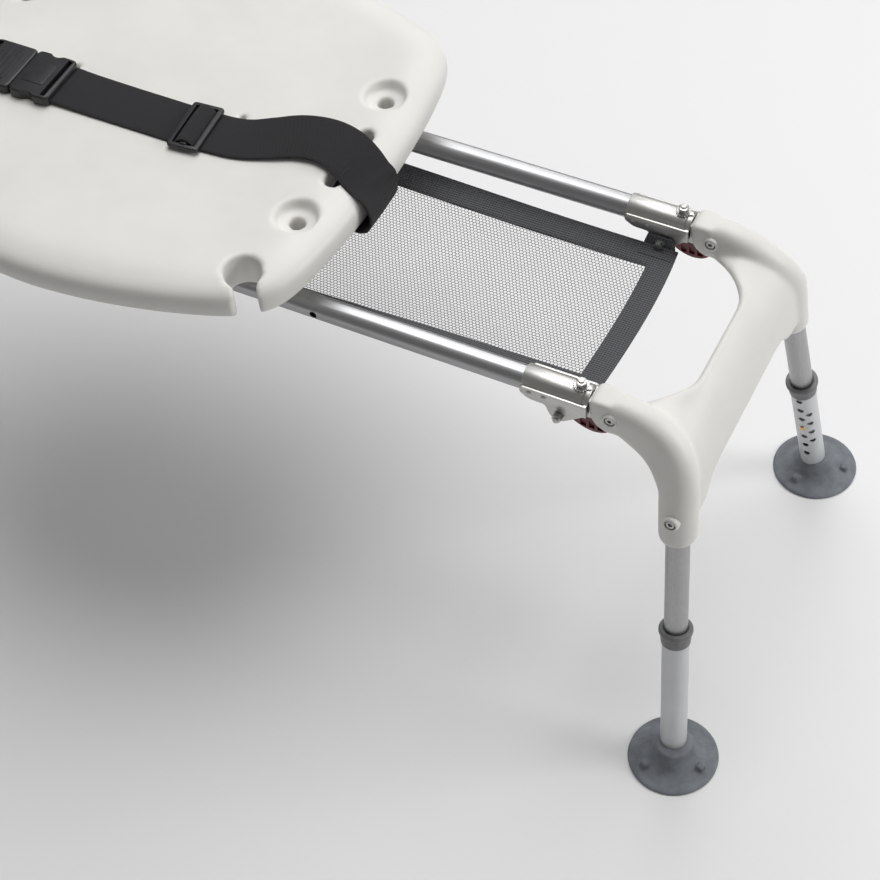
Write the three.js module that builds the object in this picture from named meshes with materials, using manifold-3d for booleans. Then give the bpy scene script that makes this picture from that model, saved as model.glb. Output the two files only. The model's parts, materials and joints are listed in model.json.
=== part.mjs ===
// A folding bath transfer bench: a moulded seat that slides on two rails, with a
// folding end frame, telescopic legs and suction feet at each end, a net sling
// between the rails and a lap belt. Millimetres, +Z up, X along the rails. The
// origin is on the floor under the middle of the bench.
import * as THREE from 'three';
import { mergeVertices } from 'three/addons/utils/BufferGeometryUtils.js';
import Module from 'manifold-3d';

const wasm = await Module();
wasm.setup();

// ---------------------------------------------------------------- driving dimensions

const GAP = 0.3; // clearance between touching pieces
const TUBE_SIDES = 16; // sides of every tube and of what fits on it

// rails
const RAIL_R = 11.1;
const RAIL_BORE_R = 9.6;
const RAIL_Y = 113.5;
const RAIL_Z = 393;
const RAIL_END_X = 495;

// legs: where the axes meet the floor, and their inward lean per unit of height
const FOOT_X = 620;
const FOOT_Y = 194;
const LEAN_X = 0.09;
const LEAN_Y = 0.19;
const UPPER_R = RAIL_R;
const UPPER_BORE_R = RAIL_BORE_R;
const LOWER_R = 12.8;
const LOWER_BORE_R = 11.5;

// distances up a leg's axis
const LOWER_TUBE_LOW = 9;
const UPPER_TUBE_LOW = 74;
const BUTTON_AT = 101;
const LOWER_TUBE_HIGH = 172;
const LEG_SCREW_AT = 315;
const SOCKET_DEPTH_AT = 336;

// snap button and the holes that it locks in
const HOLE_PITCH = 17; // height adjustment step
const HOLE_STEPS = 3; // holes above and below the one in use
const SECOND_COLUMN = THREE.MathUtils.degToRad(38);
const SECOND_HOLES = 4;
const BUTTON_R = 3.1;
const BUTTON_HOLE_R = 3.6;

// suction feet
const CUP_R = 44;
const CUP_HUB_R = 18;
const CUP_HUB_Z = 26;
const CUP_LUGS = 3;

// end frames: the fold pivot, the horns, the elbows and the leg sockets
const PIVOT_X = 523;
const PIVOT_Z = 390;
const HORN_Z = PIVOT_Z - 1.2; // height of the horns' centre line
const NOSE_R = 17.8;
const HORN_WIDTH = 27;
const CLEVIS_WIDTH = 19;
const CLEVIS_R = 50;
const CLEVIS_STEP_X = 28; // past this the clevis stays below the pivot, under the elbow's skin
const ELBOW_R = 60;
const ELBOW_Z = HORN_Z - ELBOW_R;
const ELBOW_X = FOOT_X - LEAN_X * ELBOW_Z - ELBOW_R;
const GUSSET = 12; // extra depth on the inner side of each elbow
const SOCKET_R = 18.2;
const SOCKET_DRIFT = { x: 1.5, y: 4.5 }; // how far the socket's skin ends off the leg's axis
const SOCKET_BOTTOM_Z = 276;

// the hood that joins the two elbows of an end frame
const HOOD_R = 73;
const HOOD_THICK = 9;
const HOOD_TOP_ANGLE = 48;
const HOOD_FILLET = { from: 44, turn: 40, sink: 22 }; // web that curves into each horn
const HOOD_BOTTOM_Z = 313;

// screws
const SCREW_BOSS_R = 6.6;
const SCREW_HEAD_R = 4.6;
const BOSS_PROUD = 1.6;
const PIVOT_SHAFT_R = 3.5;
const LEG_SCREW_R = 2.5;
const EAR_BOLT_R = 2.6;
const BOLT_HOLE_R = 3.4;

// hinge brackets and the levers under them
const BRACKET_INNER_X = 438;
const BRACKET_OUTER_X = 501;
const CLAMP_BOLT_X = 490.6;
const EAR_BOLT_X = 475;
const EAR_BOLT_Z = 375.3;
const SADDLE_R = 13.4;
const EAR_IN = 13.1;
const EAR_OUT = 15;
const TONGUE_HALF = 9;
const TONGUE_R = 10.8;
const LEVER_HALF = 6.5;
const LEVER_HUB_R = 5.6;

// net sling
const SLING_HALF_X = 493;
const SLING_HALF_Y = 95;
const SLING_EDGE_Z = 369;
const SLING_SAG = 8;
const SLING_THICK = 2;
const TAB_THICK = 1.6;
const TAB_HALF = 13;
const TAB_TOP_Z = 381.5;

// seat
const SEAT_HALF_X = 247;
const SEAT_HALF_Y = 232;
const SEAT_TOP_Z = 473;
const SEAT_BOTTOM_Z = 436;
const SEAT_TRAVEL = 231; // the rail's lock holes are this far apart
const SEAT_SIDE_BULGE = 20; // how far the side edges bow out
const SEAT_FRONT_BULGE = 34;
const SEAT_CORNER_R = 44;
const FIXING_X = 202;
const FIXING_Y = 85;
const SLOT_X = 211;
const SLOT_HALF = 7.5;
const SLOT_LONG = 46.5;
const SLOT_Y = -6;
const NOTCH = { x: 191, y: -162, radius: 17, neck: 10, turn: Math.atan2(34.5, 50) };

// carriage, glide shoes and lock pin
const CARRIAGE_HALF_X = 165;
const CARRIAGE_HALF_Y = 128;
const CARRIAGE_LOW = 411;
const CARRIAGE_HIGH = 415;
const SHOE_HALF_X = 150;
const LOCK_HOUSING_HALF = 11;
const LOCK_PIN_R = 3.2;
const LOCK_HOLE_R = 3.6;

// lap belt
const BELT_WIDTH = 50;
const BELT_THICK = 2;
const BELT_Y = -24;
const BELT_Z = SEAT_TOP_Z + GAP;
const BUCKLE = { inner: -84, mid: -128, outer: -176, half: 31, thick: 11 };
const SLIDER = { x: 62, halfX: 16, halfY: 30, bar: 3, window: 12 };

// ---------------------------------------------------------------- materials

function finish(color, roughness, metalness = 0) {
  return new THREE.MeshStandardMaterial({ color, roughness, metalness });
}

const whitePlastic = () => finish(0xe4e2dc, 0.45);
const anodised = () => finish(0xb4b5b6, 0.38, 0.9);
const paleTube = () => finish(0xd9dadb, 0.45, 0.3);
const stainless = () => finish(0x9c9a96, 0.32, 1);
const fastener = () => finish(0xa9a8a4, 0.28, 1);
const darkRubber = () => finish(0x53575d, 0.7);
const collarPlastic = () => finish(0x5c5f62, 0.55);
const redPlastic = () => finish(0x5a1c1f, 0.5);
const brass = () => finish(0xb88a4e, 0.35, 1);
const netFabric = () => finish(0x3e4043, 0.9);
const webbing = () => finish(0x232325, 0.9);
const blackPlastic = () => finish(0x1d1e20, 0.5);
const greyNylon = () => finish(0x77797b, 0.6);

// ---------------------------------------------------------------- geometry helpers

function toSolid(geometry) {
  const bare = geometry.clone();
  bare.deleteAttribute('normal');
  bare.deleteAttribute('uv');
  const merged = mergeVertices(bare, 1e-4);
  const vertProperties = new Float32Array(merged.attributes.position.array);
  const triVerts = new Uint32Array(merged.index.array);
  const solid = new wasm.Manifold(new wasm.Mesh({ numProp: 3, vertProperties, triVerts }));
  if (solid.volume() <= 0) throw new Error('a solid is inside out');
  return solid;
}

function toGeometry(solid) {
  const mesh = solid.getMesh();
  const geometry = new THREE.BufferGeometry();
  geometry.setAttribute('position', new THREE.BufferAttribute(new Float32Array(mesh.vertProperties), 3));
  geometry.setIndex(new THREE.BufferAttribute(new Uint32Array(mesh.triVerts), 1));
  geometry.computeVertexNormals();
  return geometry;
}

function join(...geometries) {
  return toGeometry(geometries.map(toSolid).reduce((all, one) => all.add(one)));
}

function cut(geometry, ...cutters) {
  return toGeometry(cutters.map(toSolid).reduce((all, one) => all.subtract(one), toSolid(geometry)));
}

function keep(geometry, other) {
  return toGeometry(toSolid(geometry).intersect(toSolid(other)));
}

function circle(radius, sides = TUBE_SIDES) {
  const points = [];
  for (let i = 0; i < sides; i += 1) {
    const angle = (2 * Math.PI * (i + 0.5)) / sides;
    points.push(new THREE.Vector2(radius * Math.cos(angle), radius * Math.sin(angle)));
  }
  return points;
}

function prism(points, depth, holes = []) {
  const shape = new THREE.Shape(points);
  shape.holes = holes.map((hole) => new THREE.Path(hole));
  return new THREE.ExtrudeGeometry(shape, { depth, bevelEnabled: false });
}

// A prism that stands along +Z from z = low to z = high.
function tubeZ(radius, bore, low, high, sides = TUBE_SIDES) {
  const holes = bore > 0 ? [circle(bore, sides)] : [];
  return prism(circle(radius, sides), high - low, holes).translate(0, 0, low);
}

// The same along +X, with one side of its section facing up.
function tubeX(radius, bore, low, high, sides = TUBE_SIDES) {
  return tubeZ(radius, bore, low, high, sides).rotateX(Math.PI / 2).rotateZ(Math.PI / 2);
}

// The same along +Y.
function tubeY(radius, bore, low, high, sides = TUBE_SIDES) {
  return tubeZ(radius, bore, low, high, sides).rotateX(-Math.PI / 2);
}

function box(x0, x1, y0, y1, z0, z1) {
  const geometry = new THREE.BoxGeometry(x1 - x0, y1 - y0, z1 - z0);
  return geometry.translate((x0 + x1) / 2, (y0 + y1) / 2, (z0 + z1) / 2);
}

// An outline of [x, z] points, extruded along Y from y0 to y1.
function slabXZ(outline, y0, y1) {
  const points = outline.map(([x, z]) => new THREE.Vector2(x, z));
  return prism(points, y1 - y0).rotateX(Math.PI / 2).translate(0, y1, 0);
}

// A profile of [radius, height] points turned about +Z.
function lathe(profile, sides) {
  const points = profile.map(([radius, height]) => new THREE.Vector2(radius, height));
  return new THREE.LatheGeometry(points, sides).rotateX(Math.PI / 2);
}

// A closed skin over rings of points. The ends are closed with a fan.
function loft(rings) {
  const count = rings[0].length;
  const vertices = rings.flat();
  const index = [];
  for (let i = 0; i + 1 < rings.length; i += 1) {
    for (let j = 0; j < count; j += 1) {
      const a = i * count + j;
      const b = i * count + ((j + 1) % count);
      index.push(a, b, b + count, a, b + count, a + count);
    }
  }
  const last = (rings.length - 1) * count;
  for (let j = 1; j + 1 < count; j += 1) {
    index.push(0, j + 1, j);
    index.push(last, last + j, last + j + 1);
  }
  const geometry = new THREE.BufferGeometry().setFromPoints(vertices);
  geometry.setIndex(index);
  return geometry;
}

// A hexagon or round stack along +Z: rows of [radius, low, high, sides].
function stack(rows) {
  return join(...rows.map(([radius, low, high, sides]) => tubeZ(radius, 0, low, high, sides)));
}

// ---------------------------------------------------------------- scene graph helpers

const bench = new THREE.Group();

function add(parent, name, geometry, material) {
  const mesh = new THREE.Mesh(geometry, material);
  mesh.name = name;
  parent.add(mesh);
  return mesh;
}

// ---------------------------------------------------------------- rails

function railGeometry(side) {
  const tube = tubeX(RAIL_R, RAIL_BORE_R, -RAIL_END_X, RAIL_END_X).translate(0, side * RAIL_Y, RAIL_Z);
  const cutters = [];
  for (const end of [-1, 1]) {
    cutters.push(tubeZ(BOLT_HOLE_R, 0, RAIL_Z, RAIL_Z + 20, 8).translate(end * CLAMP_BOLT_X, side * RAIL_Y, 0));
  }
  if (side < 0) {
    for (const stop of [-SEAT_TRAVEL, 0, SEAT_TRAVEL]) {
      cutters.push(tubeY(LOCK_HOLE_R, 0, -RAIL_Y - 20, -RAIL_Y, 10).translate(stop, 0, RAIL_Z));
    }
  }
  return cut(tube, ...cutters);
}

add(bench, 'rail_near', railGeometry(-1), anodised());
add(bench, 'rail_far', railGeometry(1), anodised());

// ---------------------------------------------------------------- hinge brackets
// Each is built round its own rail axis: y = 0 is the rail axis here.

function earOutline() {
  return [
    [BRACKET_INNER_X, RAIL_Z + 5],
    [BRACKET_INNER_X, RAIL_Z - 1],
    [BRACKET_INNER_X + 7, RAIL_Z - 8],
    [BRACKET_INNER_X + 23, RAIL_Z - 9],
    [EAR_BOLT_X - 8, EAR_BOLT_Z - 3],
    [EAR_BOLT_X - 4, EAR_BOLT_Z - 6.5],
    [EAR_BOLT_X + 4, EAR_BOLT_Z - 6.5],
    [BRACKET_OUTER_X, RAIL_Z - 7],
    [BRACKET_OUTER_X, RAIL_Z + 5],
  ];
}

function bracketGeometry() {
  const saddle = cut(
    tubeX(SADDLE_R, 0, BRACKET_INNER_X, BRACKET_OUTER_X).translate(0, 0, RAIL_Z),
    tubeX(RAIL_R + GAP, 0, BRACKET_INNER_X - 1, RAIL_END_X + GAP).translate(0, 0, RAIL_Z),
    box(BRACKET_INNER_X - 1, RAIL_END_X + GAP, -20, 20, RAIL_Z - 20, RAIL_Z),
  );
  const plug = tubeX(RAIL_BORE_R - GAP, 0, BRACKET_INNER_X + 34, BRACKET_OUTER_X).translate(0, 0, RAIL_Z);
  const tongue = join(
    box(BRACKET_OUTER_X - 3, PIVOT_X, -TONGUE_HALF, TONGUE_HALF, PIVOT_Z - TONGUE_R, PIVOT_Z + TONGUE_R),
    tubeY(TONGUE_R, 0, -TONGUE_HALF, TONGUE_HALF).translate(PIVOT_X, 0, PIVOT_Z),
  );
  const solid = join(
    saddle,
    slabXZ(earOutline(), -EAR_OUT, -EAR_IN),
    slabXZ(earOutline(), EAR_IN, EAR_OUT),
    box(RAIL_END_X + 2, BRACKET_OUTER_X, -EAR_OUT, EAR_OUT, RAIL_Z - 10, RAIL_Z + 5),
    plug,
    tongue,
  );
  return cut(
    solid,
    tubeZ(BOLT_HOLE_R, 0, RAIL_Z - 7, RAIL_Z + 20, 8).translate(CLAMP_BOLT_X, 0, 0),
    tubeY(PIVOT_SHAFT_R + GAP, 0, -20, 20, 10).translate(PIVOT_X, 0, PIVOT_Z),
    tubeY(EAR_BOLT_R + GAP, 0, -20, 20, 10).translate(EAR_BOLT_X, 0, EAR_BOLT_Z),
  );
}

// Flange nut and washer on the stud that clamps the saddle to the rail.
function clampBoltGeometry() {
  const top = RAIL_Z + SADDLE_R + GAP;
  return stack([
    [BOLT_HOLE_R - GAP, RAIL_Z - 6, top + 1, 8],
    [7, top, top + 1.4, 16],
    [5.2, top + 1.4, top + 6, 6],
    [2.8, top + 6, top + 7.4, 8],
  ]).translate(CLAMP_BOLT_X, 0, 0);
}

// Bolt across both ears: it carries the latch lever and the sling's corner tab.
// It is built along +Y with its head at the end nearer the middle of the bench.
function earBoltGeometry() {
  const tab = EAR_OUT + TAB_THICK + 2 * GAP;
  return stack([
    [EAR_BOLT_R, -EAR_OUT - 9, tab + 1, 10],
    [4.9, -EAR_OUT - 5, -EAR_OUT - GAP, 6],
    [5.4, tab, tab + 1, 14],
    [4.6, tab + 1, tab + 5, 6],
  ]).rotateX(-Math.PI / 2).translate(EAR_BOLT_X, 0, EAR_BOLT_Z);
}

// ---------------------------------------------------------------- latch levers

// The red paddle hangs from the ear bolt and cups the underside of the nose.
function leverOutline() {
  const points = [];
  const reach = TONGUE_R + 10;
  for (let i = 0; i <= 6; i += 1) {
    const angle = THREE.MathUtils.degToRad(215 + (i * 40) / 6);
    points.push([PIVOT_X + reach * Math.cos(angle), PIVOT_Z + reach * Math.sin(angle)]);
  }
  points.push([PIVOT_X - 4, PIVOT_Z - 26]);
  points.push([PIVOT_X - 10, PIVOT_Z - 30.5]);
  points.push([PIVOT_X - 19, PIVOT_Z - 32.5]);
  points.push([PIVOT_X - 28, PIVOT_Z - 31]);
  points.push([EAR_BOLT_X + 12, EAR_BOLT_Z - 12]);
  points.push([EAR_BOLT_X + 2, EAR_BOLT_Z - 5]);
  points.push([EAR_BOLT_X + 2, EAR_BOLT_Z + 4]);
  points.push([EAR_BOLT_X + 18, EAR_BOLT_Z + 4]);
  return points.reverse();
}

function leverGeometry() {
  const hub = tubeY(LEVER_HUB_R, 0, -LEVER_HALF, LEVER_HALF, 16).translate(EAR_BOLT_X, 0, EAR_BOLT_Z);
  const hole = tubeY(EAR_BOLT_R + GAP, 0, -20, 20, 10).translate(EAR_BOLT_X, 0, EAR_BOLT_Z);
  return cut(join(slabXZ(leverOutline(), -LEVER_HALF, LEVER_HALF), hub), hole);
}

// ---------------------------------------------------------------- end frames

// The horn, elbow and socket of one side follow this line: along the rail from
// the pivot, round the elbow, then down the leg axis.

function limbStations() {
  const stations = [{ x: PIVOT_X, z: HORN_Z, tilt: 0, round: 0, deep: 0 }];
  const steps = 6;
  for (let i = 0; i <= steps; i += 1) {
    const tilt = (i / steps) * (Math.PI / 2 - Math.atan(LEAN_X));
    const x = ELBOW_X + ELBOW_R * Math.sin(tilt);
    const z = ELBOW_Z + ELBOW_R * Math.cos(tilt);
    const deep = GUSSET * Math.sin((Math.PI * i) / steps);
    stations.push({ x, z, tilt, round: 0.15 + (0.85 * i) / steps, deep });
  }
  const tilt = Math.PI / 2 - Math.atan(LEAN_X);
  for (const z of [SOCKET_BOTTOM_Z + 5, SOCKET_BOTTOM_Z]) {
    stations.push({ x: FOOT_X - LEAN_X * z - SOCKET_DRIFT.x * drift(z), z, tilt, round: 1, deep: 0 });
  }
  return stations;
}

// From 0 at the elbow's lower end to 1 at the socket's mouth.
function drift(z) {
  return THREE.MathUtils.clamp((ELBOW_Z - z) / (ELBOW_Z - SOCKET_BOTTOM_Z), 0, 1);
}

// Distance of the limb's centre line from the middle of the bench.
function limbY(z) {
  const onLeg = FOOT_Y - LEAN_Y * z - SOCKET_DRIFT.y * drift(z);
  const t = THREE.MathUtils.smoothstep(HORN_Z - z, -8, ELBOW_R * 0.9);
  return RAIL_Y + (onLeg - RAIL_Y) * t;
}

// Superellipse between the horn's squarish section and the socket's round one.
function limbRing(station, side, sides = 16) {
  const halfY = THREE.MathUtils.lerp(HORN_WIDTH / 2, SOCKET_R, station.round);
  const halfN = THREE.MathUtils.lerp(NOSE_R, SOCKET_R, station.round);
  const power = THREE.MathUtils.lerp(0.74, 1, station.round);
  const taper = station.z === SOCKET_BOTTOM_Z ? 0.9 : 1;
  const ring = [];
  for (let j = 0; j < sides; j += 1) {
    const angle = (2 * Math.PI * (j + 0.5)) / sides;
    const c = Math.sign(Math.cos(angle)) * Math.abs(Math.cos(angle)) ** power;
    const s = Math.sign(Math.sin(angle)) * Math.abs(Math.sin(angle)) ** power;
    const out = taper * halfN * s + Math.min(s, 0) * station.deep;
    ring.push(new THREE.Vector3(
      station.x + out * Math.sin(station.tilt),
      side * limbY(station.z) + taper * halfY * c,
      station.z + out * Math.cos(station.tilt),
    ));
  }
  return ring;
}

function limbGeometry(side) {
  const sweep = loft(limbStations().map((station) => limbRing(station, side)));
  const nose = tubeY(NOSE_R, 0, -HORN_WIDTH / 2, HORN_WIDTH / 2, 20)
    .translate(PIVOT_X, side * RAIL_Y, HORN_Z);
  return join(sweep, nose);
}

// The crossbar is a hood: a wall that follows the elbows from one to the other. Near a
// horn its top edge turns further round and sinks to the horn's lower edge.

function hoodRing(y) {
  const spread = RAIL_Y - HORN_WIDTH / 2 - HOOD_FILLET.from;
  const near = THREE.MathUtils.clamp((Math.abs(y) - HOOD_FILLET.from) / spread, 0, 1) ** 2;
  const top = HOOD_TOP_ANGLE + HOOD_FILLET.turn * near;
  const footX = ELBOW_X + HOOD_R + LEAN_X * (ELBOW_Z - HOOD_BOTTOM_Z);
  const outer = [];
  const inner = [];
  const steps = 7;
  for (let i = 0; i <= steps; i += 1) {
    const angle = THREE.MathUtils.degToRad(top * (1 - i / steps));
    const radius = HOOD_R - HOOD_FILLET.sink * near * (1 - i / steps) ** 3;
    outer.push([ELBOW_X + radius * Math.cos(angle), ELBOW_Z + radius * Math.sin(angle)]);
    inner.push([
      ELBOW_X + (radius - HOOD_THICK) * Math.cos(angle),
      ELBOW_Z + (radius - HOOD_THICK) * Math.sin(angle),
    ]);
  }
  outer.push([footX, HOOD_BOTTOM_Z]);
  inner.push([footX - HOOD_THICK, HOOD_BOTTOM_Z]);
  return [...inner.reverse(), ...outer].map(([x, z]) => new THREE.Vector3(x, y, z));
}

function hoodGeometry() {
  const face = RAIL_Y - HORN_WIDTH / 2;
  const half = [HOOD_FILLET.from, 60, 76, 88, face, RAIL_Y + 3];
  const stations = [...half.map((y) => -y).reverse(), ...half];
  const rings = stations.map(hoodRing);
  return loftSheet(rings, rings[0].length / 2 - 1);
}

function endFrameGeometry() {
  let solid = join(
    limbGeometry(-1),
    limbGeometry(1),
    hoodGeometry(),
  );
  for (const side of [-1, 1]) {
    const boss = tubeY(SCREW_BOSS_R, 0, -HORN_WIDTH / 2 - BOSS_PROUD, HORN_WIDTH / 2 + BOSS_PROUD, 12);
    const clevis = keep(
      tubeY(CLEVIS_R, 0, -CLEVIS_WIDTH / 2, CLEVIS_WIDTH / 2, 20).translate(PIVOT_X, 0, PIVOT_Z),
      join(
        box(PIVOT_X - 60, PIVOT_X + CLEVIS_STEP_X, -20, 20, PIVOT_Z - 60, PIVOT_Z + TONGUE_R + 1.2),
        box(PIVOT_X, PIVOT_X + 60, -20, 20, PIVOT_Z - 60, PIVOT_Z),
      ),
    );
    const cutters = [
      clevis,
      tubeY(PIVOT_SHAFT_R + GAP, 0, -30, 30, 10).translate(PIVOT_X, 0, PIVOT_Z),
    ];
    for (const face of [-1, 1]) {
      const low = face < 0 ? -30 : HORN_WIDTH / 2 - 1;
      cutters.push(tubeY(SCREW_HEAD_R + GAP, 0, low, low + 31 - HORN_WIDTH / 2, 12)
        .translate(PIVOT_X, 0, PIVOT_Z));
    }
    solid = join(solid, boss.translate(PIVOT_X, side * RAIL_Y, PIVOT_Z));
    solid = cut(solid, ...cutters.map((one) => one.translate(0, side * RAIL_Y, 0)));
    const place = legMatrix(side);
    const legScrewBoss = tubeY(SCREW_BOSS_R, 0, -SOCKET_R - BOSS_PROUD, -SOCKET_R + 7, 12)
      .translate(0, 0, LEG_SCREW_AT).applyMatrix4(place);
    solid = join(solid, legScrewBoss);
    solid = cut(
      solid,
      tubeZ(UPPER_R + GAP, 0, 200, SOCKET_DEPTH_AT).applyMatrix4(place),
      tubeY(LEG_SCREW_R + GAP, 0, -40, 0, 10).translate(0, 0, LEG_SCREW_AT).applyMatrix4(place),
      tubeY(SCREW_HEAD_R + GAP, 0, -40, -SOCKET_R + 1, 12).translate(0, 0, LEG_SCREW_AT).applyMatrix4(place),
    );
  }
  return solid;
}

// Cap screw right through the clevis, with a head in the ring on each side.
function pivotScrewGeometry() {
  const half = HORN_WIDTH / 2 - 1;
  const solid = stack([
    [SCREW_HEAD_R, -half - 2.4, -half - 0.4, 12],
    [PIVOT_SHAFT_R, -half - 1, half + 1, 10],
    [SCREW_HEAD_R, half + 0.4, half + 2.4, 12],
  ]).rotateX(-Math.PI / 2);
  return solid.translate(PIVOT_X, 0, PIVOT_Z);
}

// ---------------------------------------------------------------- legs
// A leg's own frame has its origin on the floor, +Z up the leg axis and +Y
// towards the middle of the bench.

function legMatrix(side) {
  const up = new THREE.Vector3(-LEAN_X, -side * LEAN_Y, 1).normalize();
  const inward = new THREE.Vector3(0, -side, 0);
  const across = inward.clone().cross(up).normalize();
  const matrix = new THREE.Matrix4().makeBasis(across, up.clone().cross(across), up);
  return matrix.setPosition(FOOT_X, side * FOOT_Y, 0);
}

function upperTubeGeometry() {
  return cut(
    tubeZ(UPPER_R, UPPER_BORE_R, UPPER_TUBE_LOW, SOCKET_DEPTH_AT - 4),
    tubeY(BUTTON_HOLE_R, 0, 0, 20, 8).translate(0, 0, BUTTON_AT),
    tubeY(LEG_SCREW_R + GAP, 0, -20, 0, 10).translate(0, 0, LEG_SCREW_AT),
  );
}

function legScrewGeometry() {
  return stack([
    [LEG_SCREW_R, -SOCKET_R, -UPPER_BORE_R + 3, 10],
    [SCREW_HEAD_R, -SOCKET_R - 1.2, -SOCKET_R + 0.7, 12],
  ]).rotateX(-Math.PI / 2).translate(0, 0, LEG_SCREW_AT);
}

function lowerTubeGeometry(side) {
  const cutters = [];
  for (let k = -HOLE_STEPS; k <= HOLE_STEPS; k += 1) {
    cutters.push(tubeY(BUTTON_HOLE_R, 0, 2, 20, 6).translate(0, 0, BUTTON_AT + k * HOLE_PITCH));
  }
  for (let k = 0; k < SECOND_HOLES; k += 1) {
    cutters.push(tubeY(BUTTON_HOLE_R, 0, 2, 20, 6).rotateZ(side * SECOND_COLUMN)
      .translate(0, 0, BUTTON_AT + (k - (SECOND_HOLES - 1) / 2) * HOLE_PITCH));
  }
  return cut(tubeZ(LOWER_R, LOWER_BORE_R, LOWER_TUBE_LOW, LOWER_TUBE_HIGH), ...cutters);
}

function collarGeometry() {
  const top = LOWER_TUBE_HIGH + 3;
  const inner = LOWER_R + GAP;
  return lathe([
    [inner, top - 15], [inner + 0.9, top - 15], [15.2, top - 7], [15.9, top - 6],
    [15.9, top - 1], [15.2, top], [UPPER_R + 0.5, top], [UPPER_R + 0.5, top - 2.5],
    [inner, top - 2.5], [inner, top - 15],
  ], TUBE_SIDES);
}

// A domed pin on a spring leaf: it stands through both tubes.
function buttonGeometry() {
  return lathe([[0, 5], [4.6, 5], [4.6, 6.6], [BUTTON_R, 7.2], [BUTTON_R, 13.2], [1.9, 14.4], [0, 14.6]], 12)
    .rotateX(-Math.PI / 2).translate(0, 0, BUTTON_AT);
}

function suctionFootGeometry(side) {
  const cup = lathe([
    [0, 3.5], [29, 3.5], [32, 0], [CUP_R, 0], [CUP_R, 2.5], [40, 5.5], [30, 8.5], [21, 12],
    [CUP_HUB_R, 16], [CUP_HUB_R - 1.5, CUP_HUB_Z], [0, CUP_HUB_Z],
  ], 20);
  const lugs = [];
  for (let i = 0; i < CUP_LUGS; i += 1) {
    lugs.push(box(33, 41, -4, 4, 3, 10.5).rotateZ((i * 2 * Math.PI) / CUP_LUGS + side * 0.7));
  }
  const intoCup = new THREE.Matrix4().setPosition(-FOOT_X, -side * FOOT_Y, 0).multiply(legMatrix(side));
  const socket = tubeZ(LOWER_R + GAP, 0, LOWER_TUBE_LOW - GAP, 60).applyMatrix4(intoCup);
  return cut(join(cup, ...lugs), socket);
}

// ---------------------------------------------------------------- both ends

function addEnd(turn, sideNames, endName) {
  const end = new THREE.Group();
  end.rotation.z = turn;
  bench.add(end);
  add(end, `end_frame_${endName}`, endFrameGeometry(), whitePlastic());
  for (const side of [-1, 1]) {
    const tag = `${endName}_${sideNames[side]}`;
    const onRail = new THREE.Group();
    onRail.position.y = side * RAIL_Y;
    end.add(onRail);
    add(onRail, `hinge_bracket_${tag}`, bracketGeometry(), stainless());
    add(onRail, `clamp_nut_${tag}`, clampBoltGeometry(), fastener());
    const bolt = earBoltGeometry();
    if (side > 0) bolt.translate(-EAR_BOLT_X, 0, 0).rotateZ(Math.PI).translate(EAR_BOLT_X, 0, 0);
    add(onRail, `ear_bolt_${tag}`, bolt, fastener());
    add(onRail, `latch_lever_${tag}`, leverGeometry(), redPlastic());
    add(onRail, `pivot_screw_${tag}`, pivotScrewGeometry(), fastener());

    const leg = new THREE.Group();
    leg.applyMatrix4(legMatrix(side));
    end.add(leg);
    add(leg, `leg_upper_tube_${tag}`, upperTubeGeometry(), anodised());
    add(leg, `leg_screw_${tag}`, legScrewGeometry(), fastener());
    add(leg, `leg_lower_tube_${tag}`, lowerTubeGeometry(side), paleTube());
    add(leg, `leg_collar_${tag}`, collarGeometry(), collarPlastic());
    add(leg, `snap_button_${tag}`, buttonGeometry(), brass());

    const foot = add(end, `suction_foot_${tag}`, suctionFootGeometry(side), darkRubber());
    foot.position.set(FOOT_X, side * FOOT_Y, 0);
  }
}

// ---------------------------------------------------------------- net sling

function slingGeometry() {
  const rings = [];
  const across = 8;
  const along = 8;
  const height = (u, v) => SLING_EDGE_Z - SLING_SAG * (1 - u * u) * (1 - v * v) - 2 * (1 - v * v);
  for (let i = 0; i <= along; i += 1) {
    const u = (2 * i) / along - 1;
    const top = [];
    const bottom = [];
    for (let j = 0; j <= across; j += 1) {
      const v = (2 * j) / across - 1;
      const z = height(u, v);
      top.push(new THREE.Vector3(u * SLING_HALF_X, v * SLING_HALF_Y, z));
      bottom.push(new THREE.Vector3(u * SLING_HALF_X, v * SLING_HALF_Y, z - SLING_THICK));
    }
    rings.push([...bottom, ...top.reverse()]);
  }
  let solid = loftSheet(rings, across);
  for (const end of [-1, 1]) {
    for (const side of [-1, 1]) {
      const wall = side * (RAIL_Y - EAR_OUT - GAP - TAB_THICK / 2);
      const low = SLING_EDGE_Z - SLING_THICK;
      const tab = box(-TAB_HALF, TAB_HALF, -TAB_THICK / 2, TAB_THICK / 2, low, TAB_TOP_Z);
      const foot = box(-TAB_HALF, TAB_HALF, -1.5, 1.5, low, SLING_EDGE_Z - 0.4).translate(0, -side * 1.6, 0);
      solid = join(solid, join(tab, foot).translate(end * EAR_BOLT_X, wall, 0));
      const hole = tubeY(EAR_BOLT_R + GAP, 0, -8, 8, 10).translate(end * EAR_BOLT_X, wall, EAR_BOLT_Z);
      solid = cut(solid, hole);
    }
  }
  return solid;
}

// The sling's first and last rings are long thin strips, closed as strips.
function loftSheet(rings, across) {
  const geometry = loft(rings);
  const count = rings[0].length;
  const index = Array.from(geometry.index.array).slice(0, (rings.length - 1) * count * 6);
  const last = (rings.length - 1) * count;
  for (let j = 0; j < across; j += 1) {
    const far = count - 1 - j;
    index.push(j, far, j + 1, j + 1, far, far - 1);
    index.push(last + j, last + j + 1, last + far, last + j + 1, last + far - 1, last + far);
  }
  geometry.setIndex(index);
  return geometry;
}

// ---------------------------------------------------------------- seat

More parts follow.
